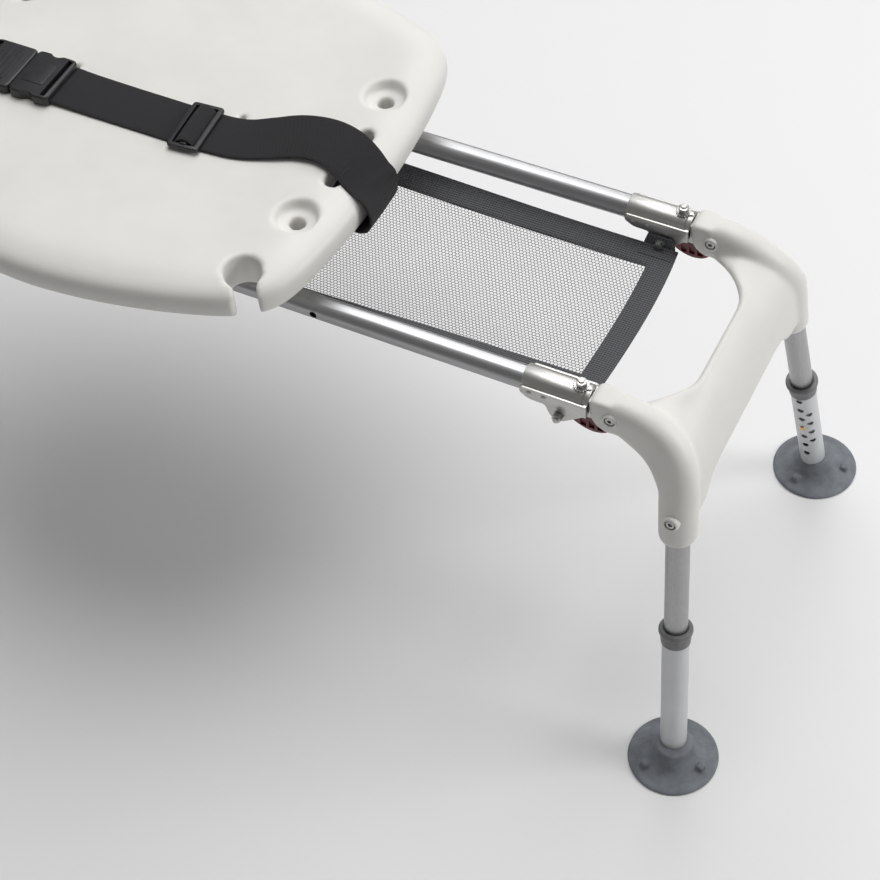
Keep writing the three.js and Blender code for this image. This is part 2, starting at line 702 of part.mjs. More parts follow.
// Points of an arc that leaves out its own end, so that arcs can follow each other.
function arcPoints(cx, cy, radius, from, to, count) {
  const points = [];
  for (let i = 0; i < count; i += 1) {
    const angle = from + ((to - from) * i) / count;
    points.push(new THREE.Vector2(cx + radius * Math.cos(angle), cy + radius * Math.sin(angle)));
  }
  return points;
}

// One quarter of the outline from the middle of the right side to the middle of the back.
function seatQuarter(inset) {
  const halfX = SEAT_HALF_X - inset;
  const halfY = SEAT_HALF_Y - inset;
  const points = [];
  const cornerX = halfX - SEAT_SIDE_BULGE - SEAT_CORNER_R + 2;
  const cornerY = halfY - SEAT_FRONT_BULGE - SEAT_CORNER_R + 6;
  for (const t of [0, 0.25, 0.5, 0.75]) {
    points.push(new THREE.Vector2(halfX - SEAT_SIDE_BULGE * t * t * 0.9, cornerY * t));
  }
  points.push(...arcPoints(cornerX, cornerY, SEAT_CORNER_R, 0.06, Math.PI / 2 - 0.2, 6));
  for (const t of [0.85, 0.65, 0.45, 0.2]) {
    points.push(new THREE.Vector2(cornerX * t, halfY - SEAT_FRONT_BULGE * t * t * 0.92));
  }
  return points;
}

function seatOutline(inset) {
  const quarter = seatQuarter(inset);
  const flipX = (points) => points.map((p) => new THREE.Vector2(-p.x, p.y)).reverse();
  const flipY = (points) => points.map((p) => new THREE.Vector2(p.x, -p.y)).reverse();
  const back = [...quarter, new THREE.Vector2(0, SEAT_HALF_Y - inset), ...flipX(quarter)];
  const front = flipY(back).slice(1, -1);
  return [...back, ...front];
}

function seatGeometry() {
  const layers = [[6, SEAT_BOTTOM_Z], [0, SEAT_BOTTOM_Z + 8], [0.5, SEAT_BOTTOM_Z + 22],
    [6, SEAT_TOP_Z - 5], [16, SEAT_TOP_Z]];
  const rings = layers.map(([inset, z]) => seatOutline(inset).map((p) => new THREE.Vector3(p.x, p.y, z)));
  const cutters = [];
  for (const end of [-1, 1]) {
    const neckTurn = end * NOTCH.turn;
    const hole = tubeZ(NOTCH.radius, 0, 400, 500).translate(end * NOTCH.x, NOTCH.y, 0);
    const neck = box(-NOTCH.neck, NOTCH.neck, -120, 0, 400, 500)
      .rotateZ(neckTurn).translate(end * NOTCH.x, NOTCH.y, 0);
    cutters.push(join(hole, neck));
    for (const side of [-1, 1]) {
      cutters.push(stack([[19, SEAT_TOP_Z - 11, SEAT_TOP_Z + 5, 24], [7.5, SEAT_BOTTOM_Z - 5, SEAT_TOP_Z, 16]])
        .translate(end * FIXING_X, side * FIXING_Y, 0));
    }
    const slot = [
      ...arcPoints(0, SLOT_LONG - SLOT_HALF, SLOT_HALF, 0, Math.PI, 6),
      new THREE.Vector2(-SLOT_HALF, 0),
      ...arcPoints(0, SLOT_HALF - SLOT_LONG, SLOT_HALF, Math.PI, 2 * Math.PI, 6),
      new THREE.Vector2(SLOT_HALF, 0),
    ];
    cutters.push(prism(slot, 100).translate(end * SLOT_X, SLOT_Y, 400));
  }
  return cut(loft(rings), ...cutters);
}

// ---------------------------------------------------------------- carriage, shoes and lock

function carriageGeometry() {
  const halfX = CARRIAGE_HALF_X;
  const halfY = CARRIAGE_HALF_Y;
  const plate = box(-halfX, halfX, -halfY, halfY, CARRIAGE_LOW, CARRIAGE_HIGH);
  const window = box(45 - halfX, halfX - 45, -70, 70, CARRIAGE_LOW - 1, CARRIAGE_HIGH + 1);
  const posts = [];
  for (const x of [-1, 1]) {
    for (const y of [-1, 1]) {
      posts.push(tubeZ(14, 0, CARRIAGE_HIGH - 1, SEAT_BOTTOM_Z - GAP, 12).translate(x * 140, y * 95, 0));
    }
  }
  const housing = join(
    box(-LOCK_HOUSING_HALF, LOCK_HOUSING_HALF, -146, -131, RAIL_Z - 9, CARRIAGE_HIGH),
    box(-30, 30, -146, -CARRIAGE_HALF_Y + 1, CARRIAGE_LOW, CARRIAGE_HIGH),
  );
  const bore = tubeY(LOCK_PIN_R + GAP, 0, -160, -120, 12).translate(0, 0, RAIL_Z);
  return cut(join(cut(plate, window), ...posts, housing), bore);
}

// A nylon channel that wraps the rail from above and is open underneath.
function shoeGeometry(side) {
  const block = join(
    tubeX(16.2, 0, -SHOE_HALF_X, SHOE_HALF_X),
    box(-SHOE_HALF_X, SHOE_HALF_X, -12, 12, 0, CARRIAGE_LOW - GAP - RAIL_Z),
  );
  const bore = tubeX(RAIL_R + 0.5, 0, -SHOE_HALF_X - 1, SHOE_HALF_X + 1);
  const mouth = box(-SHOE_HALF_X - 1, SHOE_HALF_X + 1, -8, 8, -30, 0);
  const lockHole = tubeY(LOCK_PIN_R + 1, 0, -30, 0, 12);
  const cutters = side < 0 ? [bore, mouth, lockHole] : [bore, mouth];
  return cut(block, ...cutters).translate(0, side * RAIL_Y, RAIL_Z);
}

// Push-in pin with a knob. Drawn out, as here, it is clear of the rail.
function lockPinGeometry() {
  const tip = -RAIL_Y - RAIL_R - 0.8;
  return lathe([
    [0, tip], [2, tip], [LOCK_PIN_R, tip - 1.5], [LOCK_PIN_R, -160], [11, -160], [13, -163],
    [13, -172], [10, -176], [0, -176],
  ].reverse(), 16).rotateX(-Math.PI / 2).translate(0, 0, RAIL_Z);
}

// ---------------------------------------------------------------- lap belt

// A strap's side view: it lies on the seat, turns over the edge, passes under the
// rim and comes up in the slot.
function strapOutline(start) {
  const out = SEAT_HALF_X + 3;
  const under = SEAT_BOTTOM_Z - 2.6;
  const centre = [
    [start, BELT_Z + 1], [SEAT_HALF_X - 17, BELT_Z + 1], [SEAT_HALF_X - 8, BELT_Z - 0.4],
    [SEAT_HALF_X - 1, SEAT_TOP_Z - 6], [out, SEAT_TOP_Z - 16], [out, SEAT_BOTTOM_Z + 6],
    [SEAT_HALF_X - 2, SEAT_BOTTOM_Z - 1], [SEAT_HALF_X - 10, under], [SLOT_X + 2, under],
    [SLOT_X - 3.4, SEAT_BOTTOM_Z + 3], [SLOT_X - 3.4, SEAT_TOP_Z - 8],
  ];
  const half = BELT_THICK / 2;
  const left = [];
  const right = [];
  centre.forEach(([x, z], i) => {
    const [px, pz] = centre[Math.max(i - 1, 0)];
    const [qx, qz] = centre[Math.min(i + 1, centre.length - 1)];
    const length = Math.hypot(qx - px, qz - pz);
    const nx = -(qz - pz) / length;
    const nz = (qx - px) / length;
    left.push([x + nx * half, z + nz * half]);
    right.push([x - nx * half, z - nz * half]);
  });
  return [...right, ...left.reverse()];
}

function strapGeometry(start) {
  return slabXZ(strapOutline(start), BELT_Y - BELT_WIDTH / 2, BELT_Y + BELT_WIDTH / 2);
}

// Three-bar slider that stands on the strap.
function sliderGeometry() {
  const low = BELT_Z + BELT_THICK + GAP;
  const { x, halfX, halfY, bar, window } = SLIDER;
  const inY = halfY - 4;
  return cut(
    box(x - halfX, x + halfX, BELT_Y - halfY, BELT_Y + halfY, low, low + 5),
    box(x - window, x - bar, BELT_Y - inY, BELT_Y + inY, low - 1, low + 6),
    box(x + bar, x + window, BELT_Y - inY, BELT_Y + inY, low - 1, low + 6),
  );
}

function buckleSocketGeometry() {
  const { mid, half, thick } = BUCKLE;
  const shell = box(mid, BUCKLE.inner, BELT_Y - half, BELT_Y + half, BELT_Z, BELT_Z + thick);
  const mouth = box(mid - 1, mid + 30, BELT_Y - 27, BELT_Y + 27, BELT_Z + 2.2, BELT_Z + BUCKLE.thick - 2.2);
  const strapSlot = box(BUCKLE.inner - 9, BUCKLE.inner + 1, BELT_Y - 26, BELT_Y + 26, BELT_Z - 1, BELT_Z + 6);
  return cut(shell, mouth, strapSlot);
}

function bucklePlugGeometry() {
  const { mid, half, thick } = BUCKLE;
  const shell = box(BUCKLE.outer, mid - GAP, BELT_Y - half, BELT_Y + half, BELT_Z, BELT_Z + thick);
  const strapSlot = box(BUCKLE.outer - 1, BUCKLE.outer + 9, BELT_Y - 26, BELT_Y + 26, BELT_Z - 1, BELT_Z + 6);
  const prongs = [];
  for (const y of [-22, 0, 22]) {
    prongs.push(box(mid - 3, mid + 26, BELT_Y + y - 4, BELT_Y + y + 4, BELT_Z + 3, BELT_Z + BUCKLE.thick - 3));
  }
  return join(cut(shell, strapSlot), ...prongs);
}

// ---------------------------------------------------------------- assembly

addEnd(0, { [-1]: 'near', [1]: 'far' }, 'right');
addEnd(Math.PI, { [-1]: 'far', [1]: 'near' }, 'left');
add(bench, 'net_sling', slingGeometry(), netFabric());
add(bench, 'seat_shell', seatGeometry(), whitePlastic());
add(bench, 'seat_carriage', carriageGeometry(), stainless());
add(bench, 'glide_shoe_near', shoeGeometry(-1), greyNylon());
add(bench, 'glide_shoe_far', shoeGeometry(1), greyNylon());
add(bench, 'seat_lock_pin', lockPinGeometry(), blackPlastic());
add(bench, 'belt_strap_right', strapGeometry(BUCKLE.inner - 7), webbing());
const leftStrap = add(bench, 'belt_strap_left', strapGeometry(-BUCKLE.outer - 7), webbing());
leftStrap.rotation.z = Math.PI;
leftStrap.position.y = 2 * BELT_Y;
add(bench, 'belt_slider', sliderGeometry(), blackPlastic());
add(bench, 'buckle_socket', buckleSocketGeometry(), blackPlastic());
add(bench, 'buckle_plug', bucklePlugGeometry(), blackPlastic());

export default bench;
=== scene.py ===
"""The looks of a folding bath transfer bench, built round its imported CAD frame.

Metres, +Z up, X along the rails. Sizes written in millimetres are turned to metres
by MM. Pieces of the left end are the right end's, turned half round about Z.
"""
import json
import math

import bmesh
import bpy
from mathutils import Matrix, Vector


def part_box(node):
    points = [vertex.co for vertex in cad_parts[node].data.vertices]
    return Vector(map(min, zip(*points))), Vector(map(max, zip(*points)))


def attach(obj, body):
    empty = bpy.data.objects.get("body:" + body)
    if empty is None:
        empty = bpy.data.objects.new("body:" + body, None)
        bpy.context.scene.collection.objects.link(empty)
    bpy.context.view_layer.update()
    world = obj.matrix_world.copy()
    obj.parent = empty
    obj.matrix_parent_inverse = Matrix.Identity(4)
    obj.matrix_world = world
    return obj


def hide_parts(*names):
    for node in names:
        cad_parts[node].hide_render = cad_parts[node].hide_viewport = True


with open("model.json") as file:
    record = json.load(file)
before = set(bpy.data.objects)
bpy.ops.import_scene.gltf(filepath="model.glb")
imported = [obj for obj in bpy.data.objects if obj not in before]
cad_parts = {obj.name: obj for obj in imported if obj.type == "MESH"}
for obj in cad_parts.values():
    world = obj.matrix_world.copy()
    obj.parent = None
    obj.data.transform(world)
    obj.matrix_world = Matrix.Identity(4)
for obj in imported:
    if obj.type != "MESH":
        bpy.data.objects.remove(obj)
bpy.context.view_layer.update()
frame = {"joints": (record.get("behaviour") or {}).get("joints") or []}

MM = 0.001
HALF_TURN = Matrix.Rotation(math.pi, 4, "Z")
UPSIDE_DOWN = Matrix.Rotation(math.pi, 4, "X")
ACROSS = Matrix.Scale(-1, 4, (0, 1, 0))
TUBE_STEPS = 64

# ---------------------------------------------------------------- places from the frame

JOINTS = {joint["name"]: joint for joint in frame["joints"]}


def middle(node):
    low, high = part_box(node)
    return (low + high) / 2


RAIL = middle("rail_far")
RAIL_Y = RAIL.y
RAIL_Z = RAIL.z
TUBE_R = 11.1  # rails and upper leg tubes
TUBE_BORE = 9.6
LEG_SCREW = 315 * MM  # up the leg from the floor
PIVOT = Vector(JOINTS["end_right_fold"]["pos_m"])
EAR_BOLT = Vector(JOINTS["latch_lever_right_far_pull"]["pos_m"])
FOOT = middle("suction_foot_right_far")
LEG_DOWN = Vector(JOINTS["leg_right_far_extend"]["axis"])
SEAT_LOW, SEAT_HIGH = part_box("seat_shell")


def leg_frame(side):
    """A leg's own axes: +Z up the leg and +Y towards the middle of the bench."""
    up = Vector((-LEG_DOWN.x, side * -LEG_DOWN.y, -LEG_DOWN.z)).normalized()
    inward = Vector((0, -side, 0))
    across = inward.cross(up).normalized()
    matrix = Matrix((across, up.cross(across), up)).transposed().to_4x4()
    matrix.translation = Vector((FOOT.x, side * FOOT.y, 0))
    return matrix


# ---------------------------------------------------------------- camera, light and floor


def add_camera():
    azimuth = math.radians(31.04)
    elevation = math.radians(51.21)
    roll = math.radians(5.59)
    forward = Vector((
        -math.sin(azimuth) * math.cos(elevation),
        math.cos(azimuth) * math.cos(elevation),
        -math.sin(elevation),
    ))
    right = forward.cross(Vector((0, 0, 1))).normalized()
    down = forward.cross(right)
    across = right * math.cos(roll) + down * math.sin(roll)
    below = down * math.cos(roll) - right * math.sin(roll)
    camera = bpy.data.objects.new("camera", bpy.data.cameras.new("camera"))
    camera.data.lens = 85.9
    camera.data.sensor_width = 36
    camera.data.clip_end = 50
    camera.matrix_world = Matrix((across, -below, -forward)).transposed().to_4x4()
    camera.matrix_world.translation = Vector((0.9784, -1.167, 1.7877))
    bpy.context.scene.collection.objects.link(camera)
    bpy.context.scene.camera = camera


def add_area(name, place, aim, size, power):
    light = bpy.data.lights.new(name, "AREA")
    light.shape = "DISK"
    light.size = size
    light.energy = power
    lamp = bpy.data.objects.new(name, light)
    lamp.location = place
    lamp.rotation_euler = (Vector(aim) - Vector(place)).to_track_quat("-Z", "Y").to_euler()
    bpy.context.scene.collection.objects.link(lamp)


def add_stage():
    bpy.ops.mesh.primitive_plane_add(size=24)
    floor = bpy.context.object
    floor.name = "floor"
    paint = bpy.data.materials.new("floor_paint")
    paint.use_nodes = True
    shader = paint.node_tree.nodes["Principled BSDF"]
    shader.inputs["Base Color"].default_value = (0.9, 0.9, 0.902, 1)
    shader.inputs["Roughness"].default_value = 0.9
    floor.data.materials.append(paint)
    world = bpy.data.worlds.new("studio")
    world.use_nodes = True
    background = world.node_tree.nodes["Background"]
    background.inputs["Color"].default_value = (1, 1, 1, 1)
    background.inputs["Strength"].default_value = 0.17
    bpy.context.scene.world = world
    bpy.context.scene.view_settings.view_transform = "Standard"
    add_area("overhead", (0.1, 0.9, 3.2), (0.2, 0.1, 0.3), 2.6, 67)
    add_area("side", (2.9, 0.9, 1.5), (0.4, 0, 0.3), 1.4, 32)
    add_area("back", (-0.6, 3.2, 2.2), (0.3, 0, 0.3), 1.8, 18)


# ---------------------------------------------------------------- materials


class Paint:
    """A material under construction: a Principled shader and the nodes that feed it."""

    def __init__(self, name, color, roughness, metallic=0.0):
        self.material = bpy.data.materials.new(name)
        self.material.use_nodes = True
        self.tree = self.material.node_tree
        self.shader = self.tree.nodes["Principled BSDF"]
        self.color = color
        self.shader.inputs["Base Color"].default_value = (*color, 1)
        self.shader.inputs["Roughness"].default_value = roughness
        self.shader.inputs["Metallic"].default_value = metallic
        self.height = None

    def node(self, kind, **inputs):
        made = self.tree.nodes.new(kind)
        for key, value in inputs.items():
            made.inputs[key.replace("_", " ")].default_value = value
        return made

    def link(self, source, target):
        self.tree.links.new(source, target)

    def place(self, scale=(1, 1, 1), turn=(0, 0, 0)):
        """Object coordinates in metres, stretched by scale."""
        coordinates = self.tree.nodes.new("ShaderNodeTexCoord")
        mapping = self.node("ShaderNodeMapping", Scale=scale, Rotation=turn)
        self.link(coordinates.outputs["Object"], mapping.inputs["Vector"])
        return mapping.outputs["Vector"]

    def noise(self, scale, detail=4.0, stretch=(1, 1, 1)):
        made = self.node("ShaderNodeTexNoise", Scale=scale, Detail=detail, Roughness=0.6)
        self.link(self.place(stretch), made.inputs["Vector"])
        return made.outputs["Fac"]

    def ramp(self, factor, low, high, start=0.35, end=0.65):
        """A colour ramp from low to high."""
        made = self.tree.nodes.new("ShaderNodeValToRGB")
        made.color_ramp.elements[0].position = start
        made.color_ramp.elements[1].position = end
        made.color_ramp.elements[0].color = (*low, 1)
        made.color_ramp.elements[1].color = (*high, 1)
        self.link(factor, made.inputs["Fac"])
        return made.outputs["Color"]

    def vary_color(self, factor, low, high, start=0.35, end=0.65):
        dark = [c * low for c in self.color]
        light = [min(1.0, c * high) for c in self.color]
        self.link(self.ramp(factor, dark, light, start, end), self.shader.inputs["Base Color"])

    def vary_roughness(self, factor, low, high):
        made = self.node("ShaderNodeMapRange", To_Min=low, To_Max=high)
        self.link(factor, made.inputs["Value"])
        self.link(made.outputs["Result"], self.shader.inputs["Roughness"])

    def bump(self, factor, depth, strength=0.5):
        """Adds a bump of that depth in metres on top of any earlier one."""
        made = self.node("ShaderNodeBump", Strength=strength, Distance=depth)
        self.link(factor, made.inputs["Height"])
        if self.height is not None:
            self.link(self.height, made.inputs["Normal"])
        self.height = made.outputs["Normal"]
        self.link(self.height, self.shader.inputs["Normal"])

    def wave(self, scale, axis, stretch=(1, 1, 1), shape="SIN", turn=(0, 0, 0)):
        made = self.node("ShaderNodeTexWave", Scale=scale, Distortion=0.0)
        made.bands_direction = axis
        made.wave_profile = shape
        self.link(self.place(stretch, turn), made.inputs["Vector"])
        return made.outputs["Fac"]

    def math(self, operation, first, second):
        made = self.tree.nodes.new("ShaderNodeMath")
        made.operation = operation
        for socket, value in zip(made.inputs, (first, second)):
            if isinstance(value, (int, float)):
                socket.default_value = value
            else:
                self.link(value, socket)
        return made.outputs[0]


def white_plastic():
    paint = Paint("white_plastic", (0.78, 0.768, 0.735), 0.42)
    paint.vary_color(paint.noise(9, 3), 0.965, 1.02)
    paint.vary_roughness(paint.noise(60, 5), 0.36, 0.52)
    paint.bump(paint.noise(1500, 2), 0.00006, 0.35)
    paint.bump(paint.noise(160, 3), 0.00012, 0.22)
    paint.shader.inputs["Subsurface Weight"].default_value = 0.12
    paint.shader.inputs["Subsurface Radius"].default_value = (0.004, 0.0034, 0.0028)
    paint.shader.inputs["Specular IOR Level"].default_value = 0.42
    return paint.material


def brushed_metal(name, color, low, high, along, scale=900):
    """Metal with fine drawing lines; along is the stretch that makes them run one way."""
    paint = Paint(name, color, low, 1.0)
    lines = paint.noise(scale, 5, along)
    paint.vary_color(lines, 0.93, 1.05)
    paint.vary_roughness(paint.noise(scale * 0.6, 4, along), low, high)
    paint.bump(lines, 0.00004, 0.3)
    paint.bump(paint.noise(25, 3), 0.0002, 0.12)
    return paint.material


def pale_tube():
    paint = Paint("pale_tube", (0.62, 0.63, 0.64), 0.42, 0.35)
    paint.vary_color(paint.noise(30, 4), 0.97, 1.03)
    paint.vary_roughness(paint.noise(300, 4, (1, 1, 0.1)), 0.34, 0.5)
    paint.bump(paint.noise(1200, 2), 0.00004, 0.25)
    return paint.material


def rubber():
    paint = Paint("dark_rubber", (0.175, 0.188, 0.208), 0.6)
    paint.vary_color(paint.noise(70, 6), 0.82, 1.22)
    paint.vary_roughness(paint.noise(200, 5), 0.52, 0.76)
    paint.bump(paint.noise(1400, 3), 0.00015, 0.5)
    paint.bump(paint.noise(120, 3), 0.0003, 0.2)
    return paint.material


def moulded(name, color, low, high, sheen=0.0):
    """Dark moulded plastic with a fine spark-eroded grain."""
    paint = Paint(name, color, (low + high) / 2)
    paint.vary_color(paint.noise(90, 5), 0.85, 1.2)
    paint.vary_roughness(paint.noise(260, 4), low, high)
    paint.bump(paint.noise(1800, 2), 0.00008, 0.45)
    paint.shader.inputs["Coat Weight"].default_value = sheen
    return paint.material


def woven(name, color, pitch, lift):
    """Plain weave: over and under threads, pitch apart in metres, in X and Y."""
    paint = Paint(name, color, 0.85)
    scale = math.pi / (10 * pitch)
    warp = paint.wave(scale, "X")
    weft = paint.wave(scale, "Y")
    checks = paint.math("MULTIPLY", warp, weft)
    threads = paint.math("MAXIMUM", paint.math("MULTIPLY", warp, 0.8), weft)
    cloth = paint.math("ADD", checks, threads)
    paint.vary_color(cloth, 0.55, 1.5, 0.3, 1.0)
    paint.bump(cloth, lift, 0.8)
    paint.bump(paint.noise(700, 4), 0.0002, 0.4)
    paint.shader.inputs["Sheen Weight"].default_value = 0.08
    paint.shader.inputs["Sheen Roughness"].default_value = 0.5
    return paint.material


def plain_fastener():
    paint = Paint("fastener", (0.5, 0.495, 0.485), 0.28, 1.0)
    paint.vary_color(paint.noise(260, 5), 0.8, 1.1)
    paint.vary_roughness(paint.noise(500, 4), 0.2, 0.42)
    paint.bump(paint.noise(1500, 2), 0.00005, 0.4)
    return paint.material


MATERIALS = {
    "white_plastic": white_plastic(),
    "anodised": brushed_metal("anodised", (0.45, 0.455, 0.46), 0.36, 0.5, (0.03, 1, 1)),
    "anodised_leg": brushed_metal("anodised_leg", (0.41, 0.41, 0.41), 0.32, 0.46, (1, 1, 0.03)),
    "pale_tube": pale_tube(),
    "stainless": brushed_metal("stainless", (0.6, 0.59, 0.57), 0.32, 0.48, (0.05, 1, 1), 700),
    "fastener": plain_fastener(),
    "dark_rubber": rubber(),
    "collar_plastic": moulded("collar_plastic", (0.165, 0.168, 0.17), 0.36, 0.55),
    "red_plastic": moulded("red_plastic", (0.13, 0.013, 0.022), 0.35, 0.5, 0.2),
    "brass": brushed_metal("brass", (0.72, 0.47, 0.22), 0.25, 0.4, (1, 1, 1)),
    "net_fabric": moulded("net_thread", (0.078, 0.081, 0.085), 0.6, 0.8),
    "hem": woven("hem_weave", (0.072, 0.075, 0.08), 2.5 * MM, 0.0006),
    "webbing": woven("webbing_weave", (0.0115, 0.0105, 0.0125), 1.1 * MM, 0.0003),
    "black_plastic": moulded("black_plastic", (0.021, 0.021, 0.023), 0.3, 0.46),
    "grey_nylon": moulded("grey_nylon", (0.2, 0.21, 0.22), 0.5, 0.65),
}


# ---------------------------------------------------------------- mesh helpers


def mesh_object(name, vertices, faces):
    mesh = bpy.data.meshes.new(name)
    mesh.from_pydata([tuple(v) for v in vertices], [], faces)
    mesh.validate()
    obj = bpy.data.objects.new(name, mesh)
    bpy.context.scene.collection.objects.link(obj)
    return obj


def lathe(name, profile, steps=TUBE_STEPS):
    """A profile of (radius, height) in millimetres turned about +Z. It starts and ends
    on the axis, or its last point joins its first."""
    on_axis = profile[0][0] == 0
    vertices = []
    rows = []
    for radius, height in profile:
        if radius == 0:
            rows.append([len(vertices)] * steps)
            vertices.append((0, 0, height * MM))
            continue
        rows.append(list(range(len(vertices), len(vertices) + steps)))
        for i in range(steps):
            angle = 2 * math.pi * i / steps
            vertices.append((radius * math.cos(angle) * MM, radius * math.sin(angle) * MM, height * MM))
    pairs = list(zip(rows, rows[1:]))
    if not on_axis:
        pairs.append((rows[-1], rows[0]))
    faces = []
    for low, high in pairs:
        for i in range(steps):
            j = (i + 1) % steps
            corners = [low[i], low[j], high[j], high[i]]
            faces.append(list(dict.fromkeys(corners)))
    obj = mesh_object(name, vertices, [face for face in faces if len(face) > 2])
    return outward(obj)


def outward(obj):
    """Turns every face of a closed mesh to point out."""
    work = bmesh.new()
    work.from_mesh(obj.data)
    bmesh.ops.recalc_face_normals(work, faces=work.faces)
    work.to_mesh(obj.data)
    work.free()
    return obj


def loft(name, rings):
    """A closed skin over rings of points with flat ends."""
    count = len(rings[0])
    vertices = [point for ring in rings for point in ring]
    faces = [list(range(count))[::-1], list(range(len(vertices) - count, len(vertices)))]
    for row in range(len(rings) - 1):
        for i in range(count):
            j = (i + 1) % count
            a = row * count
            faces.append([a + i, a + j, a + count + j, a + count + i])
    return outward(mesh_object(name, vertices, faces))


def prism(name, outline, low, high, axis="Y"):
    """An outline of two-number points in metres, extruded along an axis. For Y the
    numbers are x and z, and for Z they are x and y."""
    if axis == "Y":
        rings = [[Vector((x, level, z)) for x, z in outline] for level in (low, high)]
    else:
        rings = [[Vector((x, y, level)) for x, y in outline] for level in (low, high)]
    return loft(name, rings)


def cylinder(name, radius, low, high, steps=TUBE_STEPS):
    return lathe(name, [(0, low), (radius, low), (radius, high), (0, high)], steps)


def block(name, low, high):
    corners = [(low[0], low[1]), (high[0], low[1]), (high[0], high[1]), (low[0], high[1])]
    return prism(name, corners, low[2], high[2], "Z")


def brick(name, low, high):
    """A block whose corners are given in millimetres."""
    return block(name, [value * MM for value in low], [value * MM for value in high])


def move(obj, matrix):
    obj.data.transform(matrix)
    return obj


def shift(obj, x, y, z=0.0):
    """Shifts a piece by millimetres."""
    return move(obj, Matrix.Translation((x * MM, y * MM, z * MM)))


def along_y(obj, place=(0, 0, 0)):
    """Turns a piece made along +Z to lie along +Y."""
    return move(obj, Matrix.Translation(place) @ Matrix.Rotation(-math.pi / 2, 4, "X"))


def along_x(obj, place=(0, 0, 0)):
    return move(obj, Matrix.Translation(place) @ Matrix.Rotation(math.pi / 2, 4, "Y"))


def apply_modifiers(obj):
    graph = bpy.context.evaluated_depsgraph_get()
    final = bpy.data.meshes.new_from_object(obj.evaluated_get(graph))
    obj.modifiers.clear()
    old = obj.data
    obj.data = final
    bpy.data.meshes.remove(old)
    return obj


def merge(name, *parts):
    """One object that holds the meshes of all the parts."""
    work = bmesh.new()
    for part in parts:
        work.from_mesh(part.data)
        bpy.data.objects.remove(part)
    mesh = bpy.data.meshes.new(name)
    work.to_mesh(mesh)
    work.free()
    obj = bpy.data.objects.new(name, mesh)
    bpy.context.scene.collection.objects.link(obj)
    return obj


def boolean(obj, other, operation="DIFFERENCE"):
    step = obj.modifiers.new("boolean", "BOOLEAN")
    step.operation = operation
    step.object = other
    step.solver = "EXACT"
    apply_modifiers(obj)
    bpy.data.objects.remove(other)
    return obj


def cut_all(obj, cutters):
    """Cuts with several cutters that don't touch each other, in one step."""
    return boolean(obj, merge("cutters", *cutters))


def bevel(obj, width, segments=3, angle=35):
    step = obj.modifiers.new("bevel", "BEVEL")
    step.width = width * MM
    step.segments = segments
    step.limit_method = "ANGLE"
    step.angle_limit = math.radians(angle)
    return apply_modifiers(obj)


def remesh(obj, voxel, rounds):
    """Fuses overlapping shells into one skin and softens it."""
    step = obj.modifiers.new("remesh", "REMESH")
    step.mode = "VOXEL"
    step.voxel_size = voxel * MM
    apply_modifiers(obj)
    if rounds:
        smooth = obj.modifiers.new("smooth", "SMOOTH")
        smooth.factor = 0.5
        smooth.iterations = rounds
        apply_modifiers(obj)
    return obj


def shade(obj, angle=32):
    obj.data.shade_smooth()
    obj.data.set_sharp_from_angle(angle=math.radians(angle))
    return obj


def done(obj, name, body, nodes, slot, material=None, angle=32):
    """Names the piece, gives it its finish and hands it to its body."""
    obj.name = name
    obj.data.name = name
    obj.data.materials.clear()
    obj.data.materials.append(MATERIALS[material or slot])
    shade(obj, angle)
    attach(obj, body)
    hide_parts(*nodes)
    return obj


def copy_of(obj, matrix):
    twin = obj.copy()
    twin.data = obj.data.copy()
    bpy.context.scene.collection.objects.link(twin)
    twin.data.transform(matrix)
    return twin


def ease(value, low, high):
    t = min(1.0, max(0.0, (value - low) / (high - low)))
    return t * t * (3 - 2 * t)


def arc(radius, start, end, steps):
    """Points of an arc round nought, between two angles in degrees."""
    angles = [math.radians(start + (end - start) * i / steps) for i in range(steps + 1)]
    return [(radius * math.cos(angle), radius * math.sin(angle)) for angle in angles]


def millimetres(points):
    """The same pairs of numbers, turned from millimetres to metres."""
    return [(x * MM, z * MM) for x, z in points]


def mix(a, b, t):
    return a + (b - a) * t


ENDS = (("right", Matrix.Identity(4)), ("left", HALF_TURN))


def corner_tag(end, side):
    """The name of a corner, from its end and the side in the right end's own frame."""
    world_side = side if end == "right" else -side
    return f"{end}_{'far' if world_side > 0 else 'near'}"


def each_corner():
    """The bench's four corners: a tag for names, the end, the matrix that takes the
    right end there, and the side in the right end's own frame."""
    for end, turn in ENDS:
        for side in (-1, 1):
            yield corner_tag(end, side), end, turn, side


# ---------------------------------------------------------------- seat

SEAT_TOP = SEAT_HIGH.z / MM
SEAT_BOTTOM = SEAT_LOW.z / MM
SEAT_HALF_X = SEAT_HIGH.x / MM
SEAT_HALF_Y = SEAT_HIGH.y / MM
FIXING = (202, 85)
DRAIN = (92, 9)
SLOT = (211, -2)
SLOT_HALF = 32
SLOT_R = 7.5
NOTCH = (191, -162)
NOTCH_R = 17
NOTCH_TURN = math.atan2(34.5, 50)

# The seat's section from the widest line inwards: inset and drop below the top.
SEAT_ROLL = [
    (0, 20), (0.4, 16), (1.6, 12.2), (3.8, 9), (7.5, 6.3), (12.5, 4.2), (18, 2.6), (23.5, 1.3),
    (28.5, 0.5), (34, 0.1), (40, 0), (52, 0.5), (70, 1.5), (100, 2.8), (150, 3.8), (200, 4.1),
]
SEAT_UNDER = [(20, 0), (11, 0.4), (6, 1.8), (3, 4), (1.2, 7.5), (0.3, 12)]


